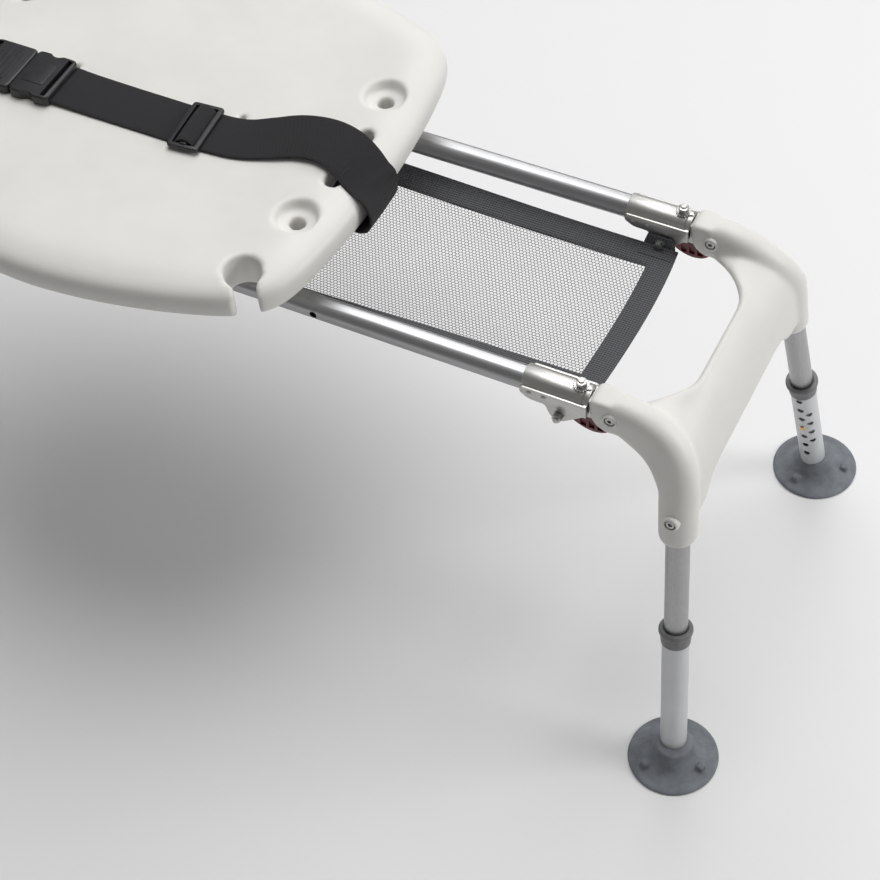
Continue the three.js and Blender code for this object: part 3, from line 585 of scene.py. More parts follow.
def seat_edge(angle):
    """Distance in millimetres from the seat's middle to its edge in that direction."""
    c = abs(math.cos(angle))
    s = abs(math.sin(angle))
    low, high = 100.0, 400.0
    for _ in range(40):
        reach = (low + high) / 2
        x, y = reach * c, reach * s
        half_x = SEAT_HALF_X - 0.00059 * y * y
        half_y = SEAT_HALF_Y - 40 * (x / 198) ** 1.8
        inside = (x / half_x) ** 14 + (y / max(half_y, 1)) ** 14 < 1
        low, high = (reach, high) if inside else (low, reach)
    return low


def seat_height(x, y):
    """Height of the seat's top face in millimetres at a point in millimetres."""
    inset = seat_edge(math.atan2(y, x)) - math.hypot(x, y)
    for (a, low), (b, high) in zip(SEAT_ROLL, SEAT_ROLL[1:]):
        if inset <= b:
            return SEAT_TOP - mix(low, high, max(0.0, inset - a) / (b - a))
    return SEAT_TOP - SEAT_ROLL[-1][1]


def seat_blank():
    steps = 240
    edges = [seat_edge(2 * math.pi * i / steps) for i in range(steps)]
    levels = [(inset, SEAT_BOTTOM + rise) for inset, rise in SEAT_UNDER]
    levels += [(inset, SEAT_TOP - drop) for inset, drop in SEAT_ROLL]
    rings = []
    for inset, level in levels:
        ring = []
        for i, edge in enumerate(edges):
            angle = 2 * math.pi * i / steps
            reach = max(edge - inset, 3) * MM
            ring.append(Vector((reach * math.cos(angle), reach * math.sin(angle), level * MM)))
        rings.append(ring)
    return loft("seat_blank", rings)


def notch_neck(end):
    """The mouth of a notch: a slot that opens out towards the rim."""
    rows = [4 * i for i in range(14)]
    flare = [max(0.0, row - 14) / 24 for row in rows]
    inner = [(-end * (9.5 + 11 * out ** 2), -row) for row, out in zip(rows, flare)]
    outer = [(end * (9.5 + 5 * out ** 2), -row) for row, out in zip(rows, flare)]
    neck = prism("neck", millimetres(inner + outer[::-1]), 0.4, 0.5, "Z")
    return shift(move(neck, Matrix.Rotation(end * NOTCH_TURN, 4, "Z")), end * NOTCH[0], NOTCH[1])


def slot_cutter(end):
    """A belt slot: long in Y, with round ends."""
    outline = []
    for turn, middle_y in ((0, SLOT_HALF), (math.pi, -SLOT_HALF)):
        for i in range(17):
            angle = turn + math.pi * i / 16
            outline.append((SLOT_R * math.cos(angle), middle_y + SLOT_R * math.sin(angle)))
    points = [((end * SLOT[0] + x) * MM, (SLOT[1] + y) * MM) for x, y in outline]
    return prism("slot", points, 0.4, 0.5, "Z")


def fixing_cutter():
    """A counterbored hole for one of the seat's fixing screws."""
    floor = SEAT_TOP - 11
    return lathe("bore", [
        (0, SEAT_BOTTOM - 5), (7.5, SEAT_BOTTOM - 5), (7.5, floor), (17.5, floor),
        (19, SEAT_TOP - 5), (22, SEAT_TOP + 5), (0, SEAT_TOP + 5),
    ])


def seat_cutters():
    """Notch holes, counterbored fixing holes, belt slots and drain holes."""
    cutters = []
    for end in (-1, 1):
        hole = cylinder("hole", NOTCH_R, SEAT_BOTTOM - 20, SEAT_TOP + 20)
        cutters.append(shift(hole, end * NOTCH[0], NOTCH[1]))
        for side in (-1, 1):
            cutters.append(shift(fixing_cutter(), end * FIXING[0], side * FIXING[1]))
        cutters.append(slot_cutter(end))
        for side in (-1, 1):
            drain = cylinder("drain", 4, SEAT_BOTTOM - 5, SEAT_TOP + 5, 24)
            cutters.append(shift(drain, end * DRAIN[0], side * DRAIN[1]))
    return cutters


def add_seat():
    seat = seat_blank()
    cut_all(seat, seat_cutters())
    cut_all(seat, [notch_neck(end) for end in (-1, 1)])
    remesh(seat, 2.2, 8)
    done(seat, "seat_moulding", "seat", ["seat_shell"], "white_plastic", angle=180)


# ---------------------------------------------------------------- carriage, shoes and lock


POST_X = 0.14
POST_Y = 0.095
PLATE_THICK = 0.004
PLATE_DROP = 24.7  # from the carriage's top, under the seat, to the plate's underside
SHOE_HALF = 0.138
SHOE_R = 16.2
SHOE_BORE = 11.6


def carriage_post():
    return lathe("post", [
        (0, 0), (17, 0), (17, 1.2), (13.4, 2.6), (12.6, 10), (13.4, 19.4), (14, 20.7), (0, 20.7),
    ], 48)


def add_carriage():
    """A plate with a window, four posts up to the seat and the lock pin's housing."""
    low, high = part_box("seat_carriage")
    plate_low = high.z - PLATE_DROP * MM
    plate_high = plate_low + PLATE_THICK
    plate = block("plate", (low.x, -0.128, plate_low), (high.x, 0.128, plate_high))
    boolean(plate, block("window", (-0.12, -0.07, plate_low - 0.01), (0.12, 0.07, plate_low + 0.01)))
    bevel(plate, 1.2, 2)
    parts = [plate]
    for x in (-POST_X, POST_X):
        for y in (-POST_Y, POST_Y):
            parts.append(move(carriage_post(), Matrix.Translation((x, y, plate_high))))
    housing = block("housing", (-0.011, low.y, low.z), (0.011, -0.131, plate_high))
    wing = block("wing", (-0.03, low.y, plate_low), (0.03, -0.127, plate_high))
    bore = along_y(cylinder("bore", 3.6, -160, -120, 32), (0, 0, RAIL_Z))
    boolean(housing, bore)
    parts += [bevel(housing, 1.5), bevel(wing, 1.2)]
    done(merge("carriage", *parts), "carriage_frame", "seat", ["seat_carriage"], "stainless")


def shoe(side):
    """A nylon channel that wraps the rail, with ribs along its crown and, on the near
    side, a hole for the lock pin."""
    outline = arc(SHOE_R, -60, 240, 40) + arc(SHOE_BORE, 240, -60, 40)
    rings = [[Vector((x, y * MM, z * MM)) for y, z in outline] for x in (-SHOE_HALF, SHOE_HALF)]
    channel = loft("channel", rings)
    if side < 0:
        boolean(channel, along_y(cylinder("hole", 4.2, -30, 0, 32), (0, 0, 0)))
    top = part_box("glide_shoe_far")[1].z - RAIL_Z
    crown = block("crown", (-SHOE_HALF, -0.012, 0.013), (SHOE_HALF, 0.012, top))
    work = [bevel(channel, 0.8, 2), bevel(crown, 1, 2)]
    for i in range(9):
        x = mix(-0.12, 0.12, i / 8)
        rib = block("rib", (x - 0.0015, -0.0155, 0.004), (x + 0.0015, 0.0155, top - 0.0005))
        work.append(bevel(rib, 0.5, 2))
    return move(merge("shoe", *work), Matrix.Translation((0, side * RAIL_Y, RAIL_Z)))


def add_shoes():
    for side, name in ((-1, "near"), (1, "far")):
        done(shoe(side), f"shoe_{name}", "seat", [f"glide_shoe_{name}"], "grey_nylon")


def add_lock_pin():
    low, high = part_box("seat_lock_pin")
    tip = high.y / MM
    knob = low.y / MM
    pin = lathe("pin", [
        (0, tip), (2, tip), (3.2, tip - 1.5), (3.2, -160), (9.5, -160), (11.5, -160.6), (12.6, -162.6),
        (12.2, -165), (12.8, -168), (12.6, -172), (11.4, -174.6), (9, knob + 0.4), (4, knob), (0, knob),
    ][::-1], 48)
    done(along_y(pin, (0, 0, RAIL_Z)), "lock_pin_knob", "seat_lock", ["seat_lock_pin"], "black_plastic")


# ---------------------------------------------------------------- rails


def add_rail(name, side):
    """A tube with holes for the clamp nuts and, on the near rail, for the lock pin."""
    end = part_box(name)[1].x / MM
    tube = lathe("rail", [(TUBE_BORE, -end), (TUBE_R, -end), (TUBE_R, end), (TUBE_BORE, end)])
    along_x(tube, (0, side * RAIL_Y, RAIL_Z))
    holes = []
    for stop in (-1, 1):
        hole = cylinder("hole", 3.4, 0, 20, 32)
        holes.append(move(hole, Matrix.Translation((stop * CLAMP_X * MM, side * RAIL_Y, RAIL_Z))))
    if side < 0:
        travel = JOINTS["seat_slide"]["range_m"][1]
        for stop in (-1, 0, 1):
            holes.append(along_y(cylinder("hole", 3.6, -20, 0, 32), (stop * travel, -RAIL_Y, RAIL_Z)))
    cut_all(tube, holes)
    bevel(tube, 0.35, 2, 50)
    done(tube, f"{name}_tube", "bench", [name], "anodised")


def add_rails():
    add_rail("rail_near", -1)
    add_rail("rail_far", 1)


# ---------------------------------------------------------------- end frames

HORN_Z = PIVOT.z / MM - 1.2
ELBOW_R = 60
ELBOW_Z = HORN_Z - ELBOW_R
LEAN_X = abs(LEG_DOWN.x / LEG_DOWN.z)
LEAN_Y = abs(LEG_DOWN.y / LEG_DOWN.z)
ELBOW_X = FOOT.x / MM - LEAN_X * ELBOW_Z - ELBOW_R
GUSSET = 11
NOSE_R = 17.8
NOSE_REACH = 21
HORN_HALF = 13.5
SOCKET_R = 18.2
SOCKET_LOW = 276
DRIFT_X = 1.5
DRIFT_Y = 4.5
HOOD_R = 73
HOOD_TOP = 48
HOOD_THICK = 11
HOOD_LOW = 313
FILLET_FROM = 44
FILLET_TURN = 40
FILLET_SINK = 22
CLEVIS_R = 50
CLEVIS_HALF = 9.5
CLEVIS_LID = 0.012  # the slot stops this far above the pivot
CLEVIS_STEPS = ((0.0125, 0), (0.039, 0.012))  # past each reach it stops lower down
HEAD_R = 5.2
PIVOT_BORE = 3.8
HOLLOW = 11.4  # leg socket


def drift(level):
    """How far the socket's skin has left the leg's axis: 0 at the elbow, 1 at its mouth."""
    return min(1.0, max(0.0, (ELBOW_Z - level) / (ELBOW_Z - SOCKET_LOW)))


def limb_side(level):
    """Distance of a limb's centre line from the middle of the bench."""
    on_leg = FOOT.y / MM - LEAN_Y * level - DRIFT_Y * drift(level)
    return mix(RAIL_Y / MM, on_leg, ease(HORN_Z - level, -8, ELBOW_R * 0.9))


def limb_stations():
    """Centre, tilt, roundness and depth of gusset down one limb, in millimetres."""
    stations = [(PIVOT.x / MM, HORN_Z, 0, 0, 0.34 * GUSSET)]
    steps = 18
    full = math.pi / 2 - math.atan(LEAN_X)
    for i in range(steps + 1):
        tilt = full * i / steps
        x = ELBOW_X + ELBOW_R * math.sin(tilt)
        z = ELBOW_Z + ELBOW_R * math.cos(tilt)
        deep = GUSSET * math.sin(math.pi * (0.11 + 0.89 * (i / steps) ** 0.8))
        stations.append((x, z, tilt, 0.12 + 0.88 * i / steps, deep))
    levels = [mix(ELBOW_Z, SOCKET_LOW + 8, i / 5) for i in range(1, 6)]
    for level in (*levels, SOCKET_LOW + 4, SOCKET_LOW + 1.4, SOCKET_LOW):
        x = FOOT.x / MM - LEAN_X * level - DRIFT_X * drift(level)
        stations.append((x, level, full, 1, 0))
    return stations


def limb_ring(station, side, steps=48):
    """A ring that is squarer below the centre line, where the gusset deepens it."""
    x, z, tilt, roundness, deep = station
    half_y = mix(HORN_HALF, SOCKET_R, roundness)
    half_n = mix(NOSE_R, SOCKET_R, roundness)
    rise = max(0.0, SOCKET_LOW + 8 - z) / 8
    taper = 1 - 0.1 * rise ** 3
    ring = []
    for j in range(steps):
        angle = 2 * math.pi * j / steps
        power = mix(0.74 if math.sin(angle) > 0 else 0.56, 1, roundness)
        c = math.copysign(abs(math.cos(angle)) ** power, math.cos(angle))
        s = math.copysign(abs(math.sin(angle)) ** power, math.sin(angle))
        out = taper * half_n * s - deep * (1 - (1 + min(s, 0)) ** 3)
        ring.append(Vector((
            x + out * math.sin(tilt),
            side * limb_side(z) + taper * half_y * c,
            z + out * math.cos(tilt),
        )) * MM)
    return ring


def nose(side):
    """End of a horn, turned about the pivot below and squared above the rail's axis."""
    pivot_x, pivot_z = PIVOT.x / MM, PIVOT.z / MM
    top = HORN_Z + NOSE_R
    outline = [(pivot_x, top), (pivot_x - NOSE_REACH + 1.5, top), (pivot_x - NOSE_REACH, top - 3)]
    for i in range(13):
        angle = math.pi * (1 + i / 24)
        outline.append((pivot_x + NOSE_REACH * math.cos(angle), pivot_z + NOSE_REACH * math.sin(angle)))
    low, high = sorted((side * RAIL_Y / MM - HORN_HALF, side * RAIL_Y / MM + HORN_HALF))
    return prism("nose", millimetres(outline), low * MM, high * MM)


def limb(side):
    sweep = loft("limb", [limb_ring(station, side) for station in limb_stations()])
    return [sweep, bevel(nose(side), 4, 4)]


def hood_ring(y):
    """Section of the crossbar at distance y from the middle: a rolled wall that follows
    the elbows. Near a horn its top edge turns further round and sinks to the horn's
    lower edge, and its foot drops a little."""
    face = RAIL_Y / MM - HORN_HALF
    near = min(1.0, max(0.0, abs(y) - FILLET_FROM) / (face - FILLET_FROM)) ** 2
    top = math.radians(HOOD_TOP + FILLET_TURN * near)
    drop = min(1.0, max(0.0, abs(y) / face - 0.66) / 0.34) ** 2.2
    bottom = HOOD_LOW - 17 * drop
    half = HOOD_THICK / 2
    outer = []
    steps = 18
    for i in range(steps + 1):
        left = 1 - i / steps
        outer.append((HOOD_R - FILLET_SINK * near * left ** 3, top * left))
    wall = [(ELBOW_X + r * math.cos(a), ELBOW_Z + r * math.sin(a)) for r, a in outer]
    back = [
        (ELBOW_X + (r - HOOD_THICK) * math.cos(a), ELBOW_Z + (r - HOOD_THICK) * math.sin(a))
        for r, a in outer
    ]
    for i in range(1, 5):
        level = mix(ELBOW_Z, bottom + 3, i / 4)
        x = ELBOW_X + HOOD_R + LEAN_X * (ELBOW_Z - level)
        wall.append((x, level))
        back.append((x - HOOD_THICK, level))
    lip = HOOD_R - FILLET_SINK * near - half
    rim = []
    for i in range(1, 6):
        angle = top + math.pi * (1 - i / 6)
        rim.append((
            ELBOW_X + lip * math.cos(top) + half * math.cos(angle),
            ELBOW_Z + lip * math.sin(top) + half * math.sin(angle),
        ))
    low_x, low_z = wall[-1]
    foot = []
    for i in range(1, 6):
        angle = -math.pi * i / 6
        foot.append((low_x - half + half * math.cos(angle), low_z + half * math.sin(angle)))
    return [Vector((x, y, z)) * MM for x, z in [*back[::-1], *rim, *wall, *foot]]


def hood():
    half = RAIL_Y / MM + 6
    return loft("hood", [hood_ring(mix(-half, half, i / 60)) for i in range(61)])


def screw_boss(low, high):
    """A ring that stands proud of the moulding round a screw head."""
    return lathe("boss", [
        (0, low), (7.8, low), (7.6, high - 2.4), (7.0, high - 0.9), (6.5, high - 0.2), (6.0, high), (0, high),
    ], 48)


def frame_bosses():
    bosses = []
    for side in (-1, 1):
        centre = (PIVOT.x, side * RAIL_Y, PIVOT.z)
        bosses.append(along_y(screw_boss(11, HORN_HALF + 2), centre))
        bosses.append(along_y(move(screw_boss(11, HORN_HALF + 2), UPSIDE_DOWN), centre))
        leg_boss = along_y(move(screw_boss(14, SOCKET_R + 2), UPSIDE_DOWN), (0, 0, LEG_SCREW))
        bosses.append(move(leg_boss, leg_frame(side)))
    return merge("bosses", *bosses)


def clevis_cutter(centre):
    """The slot for a bracket's tongue and lever, kept under the skin of the elbow."""
    clevis = along_y(cylinder("clevis", CLEVIS_R, -CLEVIS_HALF, CLEVIS_HALF, 96), centre)
    for reach, drop in CLEVIS_STEPS:
        low = (PIVOT.x + reach, -0.2, PIVOT.z - drop)
        boolean(clevis, block("step", low, (PIVOT.x + 0.06, 0.2, PIVOT.z + 0.07)))
    low = (PIVOT.x - 0.06, -0.2, PIVOT.z + CLEVIS_LID)
    return boolean(clevis, block("lid", low, (PIVOT.x + 0.06, 0.2, PIVOT.z + 0.06)))


def frame_hollows():
    """The clevis slots, the recesses of the screw heads and the leg sockets."""
    cutters = []
    for side in (-1, 1):
        centre = (PIVOT.x, side * RAIL_Y, PIVOT.z)
        cutters.append(clevis_cutter(centre))
        head = cylinder("head", HEAD_R, HORN_HALF - 2, HORN_HALF + 10, 48)
        cutters.append(along_y(head, centre))
        head = move(cylinder("head", HEAD_R, HORN_HALF - 2, HORN_HALF + 10, 48), UPSIDE_DOWN)
        cutters.append(along_y(head, centre))
        place = leg_frame(side)
        cutters.append(move(cylinder("socket", HOLLOW, 200, 335, 64), place))
        head = cylinder("head", HEAD_R, -SOCKET_R - 10, -SOCKET_R + 2, 48)
        cutters.append(move(along_y(head, (0, 0, LEG_SCREW)), place))
    return cutters


def end_frame():
    moulding = merge("end_frame", *limb(-1), *limb(1), hood())
    remesh(moulding, 2.0, 22)
    boolean(moulding, frame_bosses(), "UNION")
    cut_all(moulding, frame_hollows())
    bores = []
    for side in (-1, 1):
        bore = cylinder("bore", PIVOT_BORE, -14, 14, 32)
        bores.append(along_y(bore, (PIVOT.x, side * RAIL_Y, PIVOT.z)))
    return cut_all(moulding, bores)


def add_end_frames():
    right = end_frame()
    left = copy_of(right, HALF_TURN)
    for end, piece in (("right", right), ("left", left)):
        node = f"end_frame_{end}"
        done(piece, f"{node}_moulding", f"end_{end}", [node], "white_plastic", angle=50)


# ---------------------------------------------------------------- legs

HOLE_PITCH = JOINTS["leg_right_far_extend"]["range_m"][1] / 3
BUTTON_AT = 0.101
SECOND_COLUMN = math.radians(38)
LUG_TURN = 0.16


def smooth_profile(points, steps=6):
    """Rounds a profile: a Catmull-Rom curve through its points."""
    path = [points[0], *points, points[-1]]
    result = []
    for a, b, c, d in zip(path, path[1:], path[2:], path[3:]):
        for i in range(steps):
            t = i / steps
            result.append(tuple(
                0.5 * (2 * q + (r - p) * t + (2 * p - 5 * q + 4 * r - s) * t * t
                       + (3 * q - p - 3 * r + s) * t ** 3)
                for p, q, r, s in zip(a, b, c, d)
            ))
    return [*result, points[-1]]


def upper_tube():
    tube = lathe("upper", [
        (TUBE_BORE, 74), (10.7, 74), (TUBE_R, 74.4), (TUBE_R, 332), (TUBE_BORE, 332),
    ])
    boolean(tube, along_y(cylinder("hole", 3.6, 0, 20, 32), (0, 0, BUTTON_AT)))
    boolean(tube, along_y(cylinder("hole", 2.8, -20, 0, 32), (0, 0, LEG_SCREW)))
    return tube


def lower_tube(side):
    """The outer tube, with two staggered columns of holes on its inward face."""
    tube = lathe("lower", [(11.5, 9), (12.8, 9), (12.8, 171.6), (12.4, 172), (11.5, 172)])
    holes = []
    for k in range(-3, 4):
        holes.append(along_y(cylinder("hole", 3.4, 2, 20, 24), (0, 0, BUTTON_AT + k * HOLE_PITCH)))
    for k in range(4):
        hole = move(cylinder("hole", 3.4, 2, 20, 24), Matrix.Rotation(-math.pi / 2, 4, "X"))
        hole = move(hole, Matrix.Rotation(side * SECOND_COLUMN, 4, "Z"))
        level = BUTTON_AT + (k - 1.5) * HOLE_PITCH
        holes.append(move(hole, Matrix.Translation((0, 0, level))))
    return cut_all(tube, holes)


def collar():
    """Clamp collar: a slim skirt that swells to a rounded lip."""
    outside = smooth_profile([
        (13.6, 157), (14.0, 158.6), (14.4, 164), (14.9, 168), (15.7, 169.4), (16.1, 171), (16.1, 173),
        (15.6, 174.6), (14.4, 175), (12.6, 175), (11.6, 174.6),
    ], 4)
    return lathe("collar", [*outside, (11.6, 172.6), (13.1, 172.4), (13.1, 157)], 72)


def button():
    profile = smooth_profile([
        (0, 5), (4.6, 5), (4.6, 6.6), (3.1, 7.2), (3.1, 12.6), (2.9, 13.8), (2.2, 14.5), (1, 14.8),
        (0, 14.85),
    ], 3)
    return along_y(lathe("button", profile, 32), (0, 0, BUTTON_AT))


def socket_screw(low, high):
    """Cap screw along +Z with a domed head and a hexagon socket."""
    head = lathe("head", [
        (0, low), (2.5, low), (2.5, high - 2.2), (4.4, high - 2.2), (4.4, high - 0.7), (4.0, high - 0.15),
        (3.3, high), (0, high),
    ], 40)
    boolean(head, cylinder("recess", 2.2, high - 1.7, high + 2, 6))
    return head


def foot(side):
    """Suction foot: a wide thin cup, a conical hub round the tube and three pull lugs."""
    profile = smooth_profile([
        (29, 3.5), (31, 1.2), (34, 0.15), (40, 0), (43.2, 0.2), (44, 1.2), (43.6, 2.4), (41, 3.6), (36, 4.8),
        (31, 6.6), (26.4, 9.4), (22.6, 13.4), (20.2, 18), (18.6, 22), (17.4, 24.8), (16.2, 25.8),
    ], 4)
    cup = lathe("cup", [(0, 3.5), *profile, (0, 26)], 96)
    lugs = []
    for i in range(3):
        lug = block("lug", (0.027, -0.0042, 0.004), (0.0345, 0.0042, 0.0122))
        lug = bevel(lug, 2.2, 4)
        turn = Matrix.Rotation(i * 2 * math.pi / 3 + side * LUG_TURN, 4, "Z")
        lugs.append(move(lug, turn))
    piece = merge("foot", cup, *lugs)
    remesh(piece, 1.1, 3)
    into_cup = Matrix.Translation((-FOOT.x, -side * FOOT.y, 0)) @ leg_frame(side)
    boolean(piece, move(cylinder("socket", 13.1, 8.7, 60, 64), into_cup))
    return move(piece, Matrix.Translation((FOOT.x, side * FOOT.y, 0)))


def leg_pieces(side):
    """Each kind of piece on a leg: its mesh, what it rides on, its slot and its paint."""
    place = leg_frame(side)
    screw = move(socket_screw(9.6 - 3, SOCKET_R + 1.2), UPSIDE_DOWN)
    return {
        "leg_upper_tube": (move(upper_tube(), place), "end", "anodised", "anodised_leg"),
        "leg_screw": (move(along_y(screw, (0, 0, LEG_SCREW)), place), "end", "fastener", None),
        "leg_lower_tube": (move(lower_tube(side), place), "leg", "pale_tube", None),
        "leg_collar": (move(collar(), place), "leg", "collar_plastic", None),
        "snap_button": (move(button(), place), "button", "brass", None),
        "suction_foot": (foot(side), "leg", "dark_rubber", None),
    }


def add_legs():
    for side in (-1, 1):
        for kind, (right, rider, slot, paint) in leg_pieces(side).items():
            left = copy_of(right, HALF_TURN)
            for end, piece in (("right", right), ("left", left)):
                tag = corner_tag(end, side)
                body = {"end": f"end_{end}", "leg": f"leg_{tag}", "button": f"snap_button_{tag}"}[rider]
                done(piece, f"{kind}_{tag}_fine", body, [f"{kind}_{tag}"], slot, paint)


# ---------------------------------------------------------------- brackets, bolts and levers
# These are built round the rail axis of the right end, with +Y to the middle of
# the bench, and then placed at the four corners.

BRACKET_IN = 438
BRACKET_OUT = 501
CLAMP_X = 490.6
RIVETS_X = (447, 461)
SADDLE_R = 13.4
SADDLE_BORE = 11.5
BOLT_BORE = 2.9
TONGUE_R = 10.8
TONGUE_HALF = 9
LEVER_HALF = 6.5


def rounded(points, radius, steps=5):
    """An outline whose corners are cut back by a radius and curved."""
    result = []
    count = len(points)
    for i, point in enumerate(points):
        here = Vector((*point, 0))
        before = Vector((*points[i - 1], 0))
        after = Vector((*points[(i + 1) % count], 0))
        cut = min(radius, (before - here).length / 2.1, (after - here).length / 2.1)
        start = here + (before - here).normalized() * cut
        end = here + (after - here).normalized() * cut
        for k in range(steps + 1):
            t = k / steps
            spot = start * (1 - t) ** 2 + here * 2 * t * (1 - t) + end * t * t
            result.append((spot.x, spot.y))
    return result


def ear_outline():
    rail_z = RAIL_Z / MM
    bolt_x, bolt_z = EAR_BOLT.x / MM, EAR_BOLT.z / MM
    return millimetres(rounded([
        (BRACKET_IN, rail_z + 5), (BRACKET_IN, rail_z - 3), (BRACKET_IN + 9, rail_z - 8.6),
        (BRACKET_IN + 24, rail_z - 9), (bolt_x - 8, bolt_z - 3.4), (bolt_x - 4, bolt_z - 6.5),
        (bolt_x + 4, bolt_z - 6.5), (BRACKET_OUT, rail_z - 7), (BRACKET_OUT, rail_z + 5),
    ], 3))


def saddle():
    """The sheet that wraps the end of the rail."""
    rail_z = RAIL_Z / MM
    outline = arc(SADDLE_R, -8, 188, 48) + arc(SADDLE_BORE, 188, -8, 48)
    rings = [[Vector((x, y, rail_z + z)) * MM for y, z in outline] for x in (BRACKET_IN, BRACKET_OUT - 5.4)]
    return bevel(loft("saddle", rings), 0.4, 2)


def ear(side):
    """One ear of a bracket, with its two rivets."""
    low, high = sorted((side * 13.0, side * 15))
    plate = prism("ear", ear_outline(), low * MM, high * MM)
    hole = along_y(cylinder("hole", BOLT_BORE, -20, 20, 24), (EAR_BOLT.x, 0, EAR_BOLT.z))
    parts = [bevel(boolean(plate, hole), 0.4, 2)]
    for x in RIVETS_X:
        rivet = lathe("rivet", [
            (0, 14), (2.4, 14), (2.3, 15.6), (1.7, 16.3), (0.8, 16.6), (0, 16.65),
        ], 24)
        rivet = move(rivet, Matrix.Rotation(0 if side > 0 else math.pi, 4, "X"))
        parts.append(along_y(rivet, (x * MM, 0, RAIL_Z - 0.0004)))
    return parts


def tongue():
    """The bar that the horn turns on."""
    half, reach = TONGUE_HALF * MM, TONGUE_R * MM
    bar = block("bar", (0.498, -half, PIVOT.z - reach), (PIVOT.x, half, PIVOT.z + reach))
    knuckle = along_y(cylinder("knuckle", TONGUE_R, -TONGUE_HALF, TONGUE_HALF), (PIVOT.x, 0, PIVOT.z))
    bar = bevel(boolean(bar, knuckle, "UNION"), 0.8, 3)
    bore = along_y(cylinder("bore", PIVOT_BORE, -20, 20, 32), (PIVOT.x, 0, PIVOT.z))
    return boolean(bar, bore)


def bracket():
    parts = [saddle(), *ear(-1), *ear(1)]
    cap = along_x(cylinder("cap", SADDLE_R, BRACKET_OUT - 5.7, BRACKET_OUT), (0, 0, RAIL_Z))
    parts.append(bevel(cap, 1.4, 3))
    web = block("web", (0.4972, -0.0149, RAIL_Z - 0.0098), (0.501, 0.0149, RAIL_Z + 0.0049))
    parts.append(bevel(web, 0.8, 2))
    parts.append(along_x(cylinder("plug", 9.3, BRACKET_IN + 34, BRACKET_OUT), (0, 0, RAIL_Z)))
    parts.append(tongue())
    screw = lathe("screw", [(0, 10), (2.6, 10), (2.6, 14.2), (2.0, 14.9), (0, 15.2)], 28)
    parts.append(move(screw, Matrix.Translation((0.4983, 0, RAIL_Z))))
    return merge("bracket", *parts)


def hexagon(width, low, high):
    """A hexagon nut or head with its corners turned down."""
    corner = width / math.sqrt(3)
    nut = cylinder("nut", corner, low, high, 6)
    cone = lathe("cone", [
        (0, low - 1), (corner + 2, low - 1), (corner + 2, high - 1.5), (corner - 1.0, high + 0.2),
        (0, high + 0.2),
    ], 48)
    return boolean(nut, cone, "INTERSECT")


def thread(radius, low, high, pitch=0.8):
    """A stud end with turned rings for its thread."""
    profile = [(0, low)]
    level = low
    while level + pitch < high:
        profile += [(radius, level), (radius, level + 0.35 * pitch), (radius - 0.35, level + 0.6 * pitch)]
        level += pitch
    return lathe("thread", [*profile, (radius - 0.3, high), (0, high)], 32)


def toothed_washer(radius, low, high, teeth=18):
    outline = []
    for i in range(teeth * 4):
        reach = radius if i % 4 < 2 else radius - 1.1
        angle = 2 * math.pi * i / (teeth * 4)
        outline.append((reach * MM * math.cos(angle), reach * MM * math.sin(angle)))
    return bevel(prism("washer", outline, low * MM, high * MM, "Z"), 0.15, 1)


def clamp_nut():
    top = RAIL_Z / MM + 13.7
    parts = [
        toothed_washer(7.6, top, top + 1.2),
        cylinder("flange", 5.9, top + 1.2, top + 2.0, 40),
        hexagon(9, top + 1.9, top + 6.2),
        thread(2.8, RAIL_Z / MM - 6, top + 7.8),
    ]
    return shift(merge("clamp_nut", *parts), CLAMP_X, 0)


def ear_bolt():
    """Along +Y: nut on the outer ear, washer and hexagon head over the sling's tab."""
    nut = move(hexagon(8, 15.3, 20), UPSIDE_DOWN)
    parts = [thread(2.6, -22, 18), nut, toothed_washer(5.6, 17.2, 18.2, 14), hexagon(8, 18, 22.2)]
    return along_y(merge("ear_bolt", *parts), (EAR_BOLT.x, 0, EAR_BOLT.z))


def lever_outline():
    pivot_x, pivot_z = PIVOT.x / MM, PIVOT.z / MM
    bolt_x, bolt_z = EAR_BOLT.x / MM, EAR_BOLT.z / MM
    inner = [(pivot_x + x, pivot_z + z) for x, z in arc(20.8, 215, 255, 12)]
    outer = smooth_profile([
        (pivot_x - 4, pivot_z - 26), (pivot_x - 10, pivot_z - 30.3), (pivot_x - 19, pivot_z - 32.2),
        (pivot_x - 28, pivot_z - 30.6), (bolt_x + 12, bolt_z - 12), (bolt_x + 2, bolt_z - 5),
    ], 4)
    return millimetres([*inner, *outer, (bolt_x + 2, bolt_z + 4), (bolt_x + 18, bolt_z + 4)])


def lever():
    """A red paddle on the ear bolt, with three pockets in each face."""
    paddle = prism("lever", lever_outline(), -LEVER_HALF * MM, LEVER_HALF * MM)
    paddle = bevel(paddle, 1.1, 3, 40)
    hub = along_y(cylinder("hub", 5.6, -LEVER_HALF, LEVER_HALF, 40), (EAR_BOLT.x, 0, EAR_BOLT.z))
    lever_body = boolean(paddle, bevel(hub, 0.6, 2), "UNION")
    pivot_x, pivot_z = PIVOT.x / MM, PIVOT.z / MM
    for side in (-1, 1):
        for k in range(3):
            x = pivot_x - 31 + 8 * k
            pocket = millimetres([
                (x, pivot_z - 27.5), (x + 5.4, pivot_z - 27.8), (x + 5.4, pivot_z - 22.5), (x, pivot_z - 19),
            ])
            low, high = sorted((side * 4.5, side * 10))
            boolean(lever_body, prism("pocket", pocket, low * MM, high * MM))
    bore = along_y(cylinder("bore", BOLT_BORE, -20, 20, 24), (EAR_BOLT.x, 0, EAR_BOLT.z))
    return boolean(lever_body, bore)


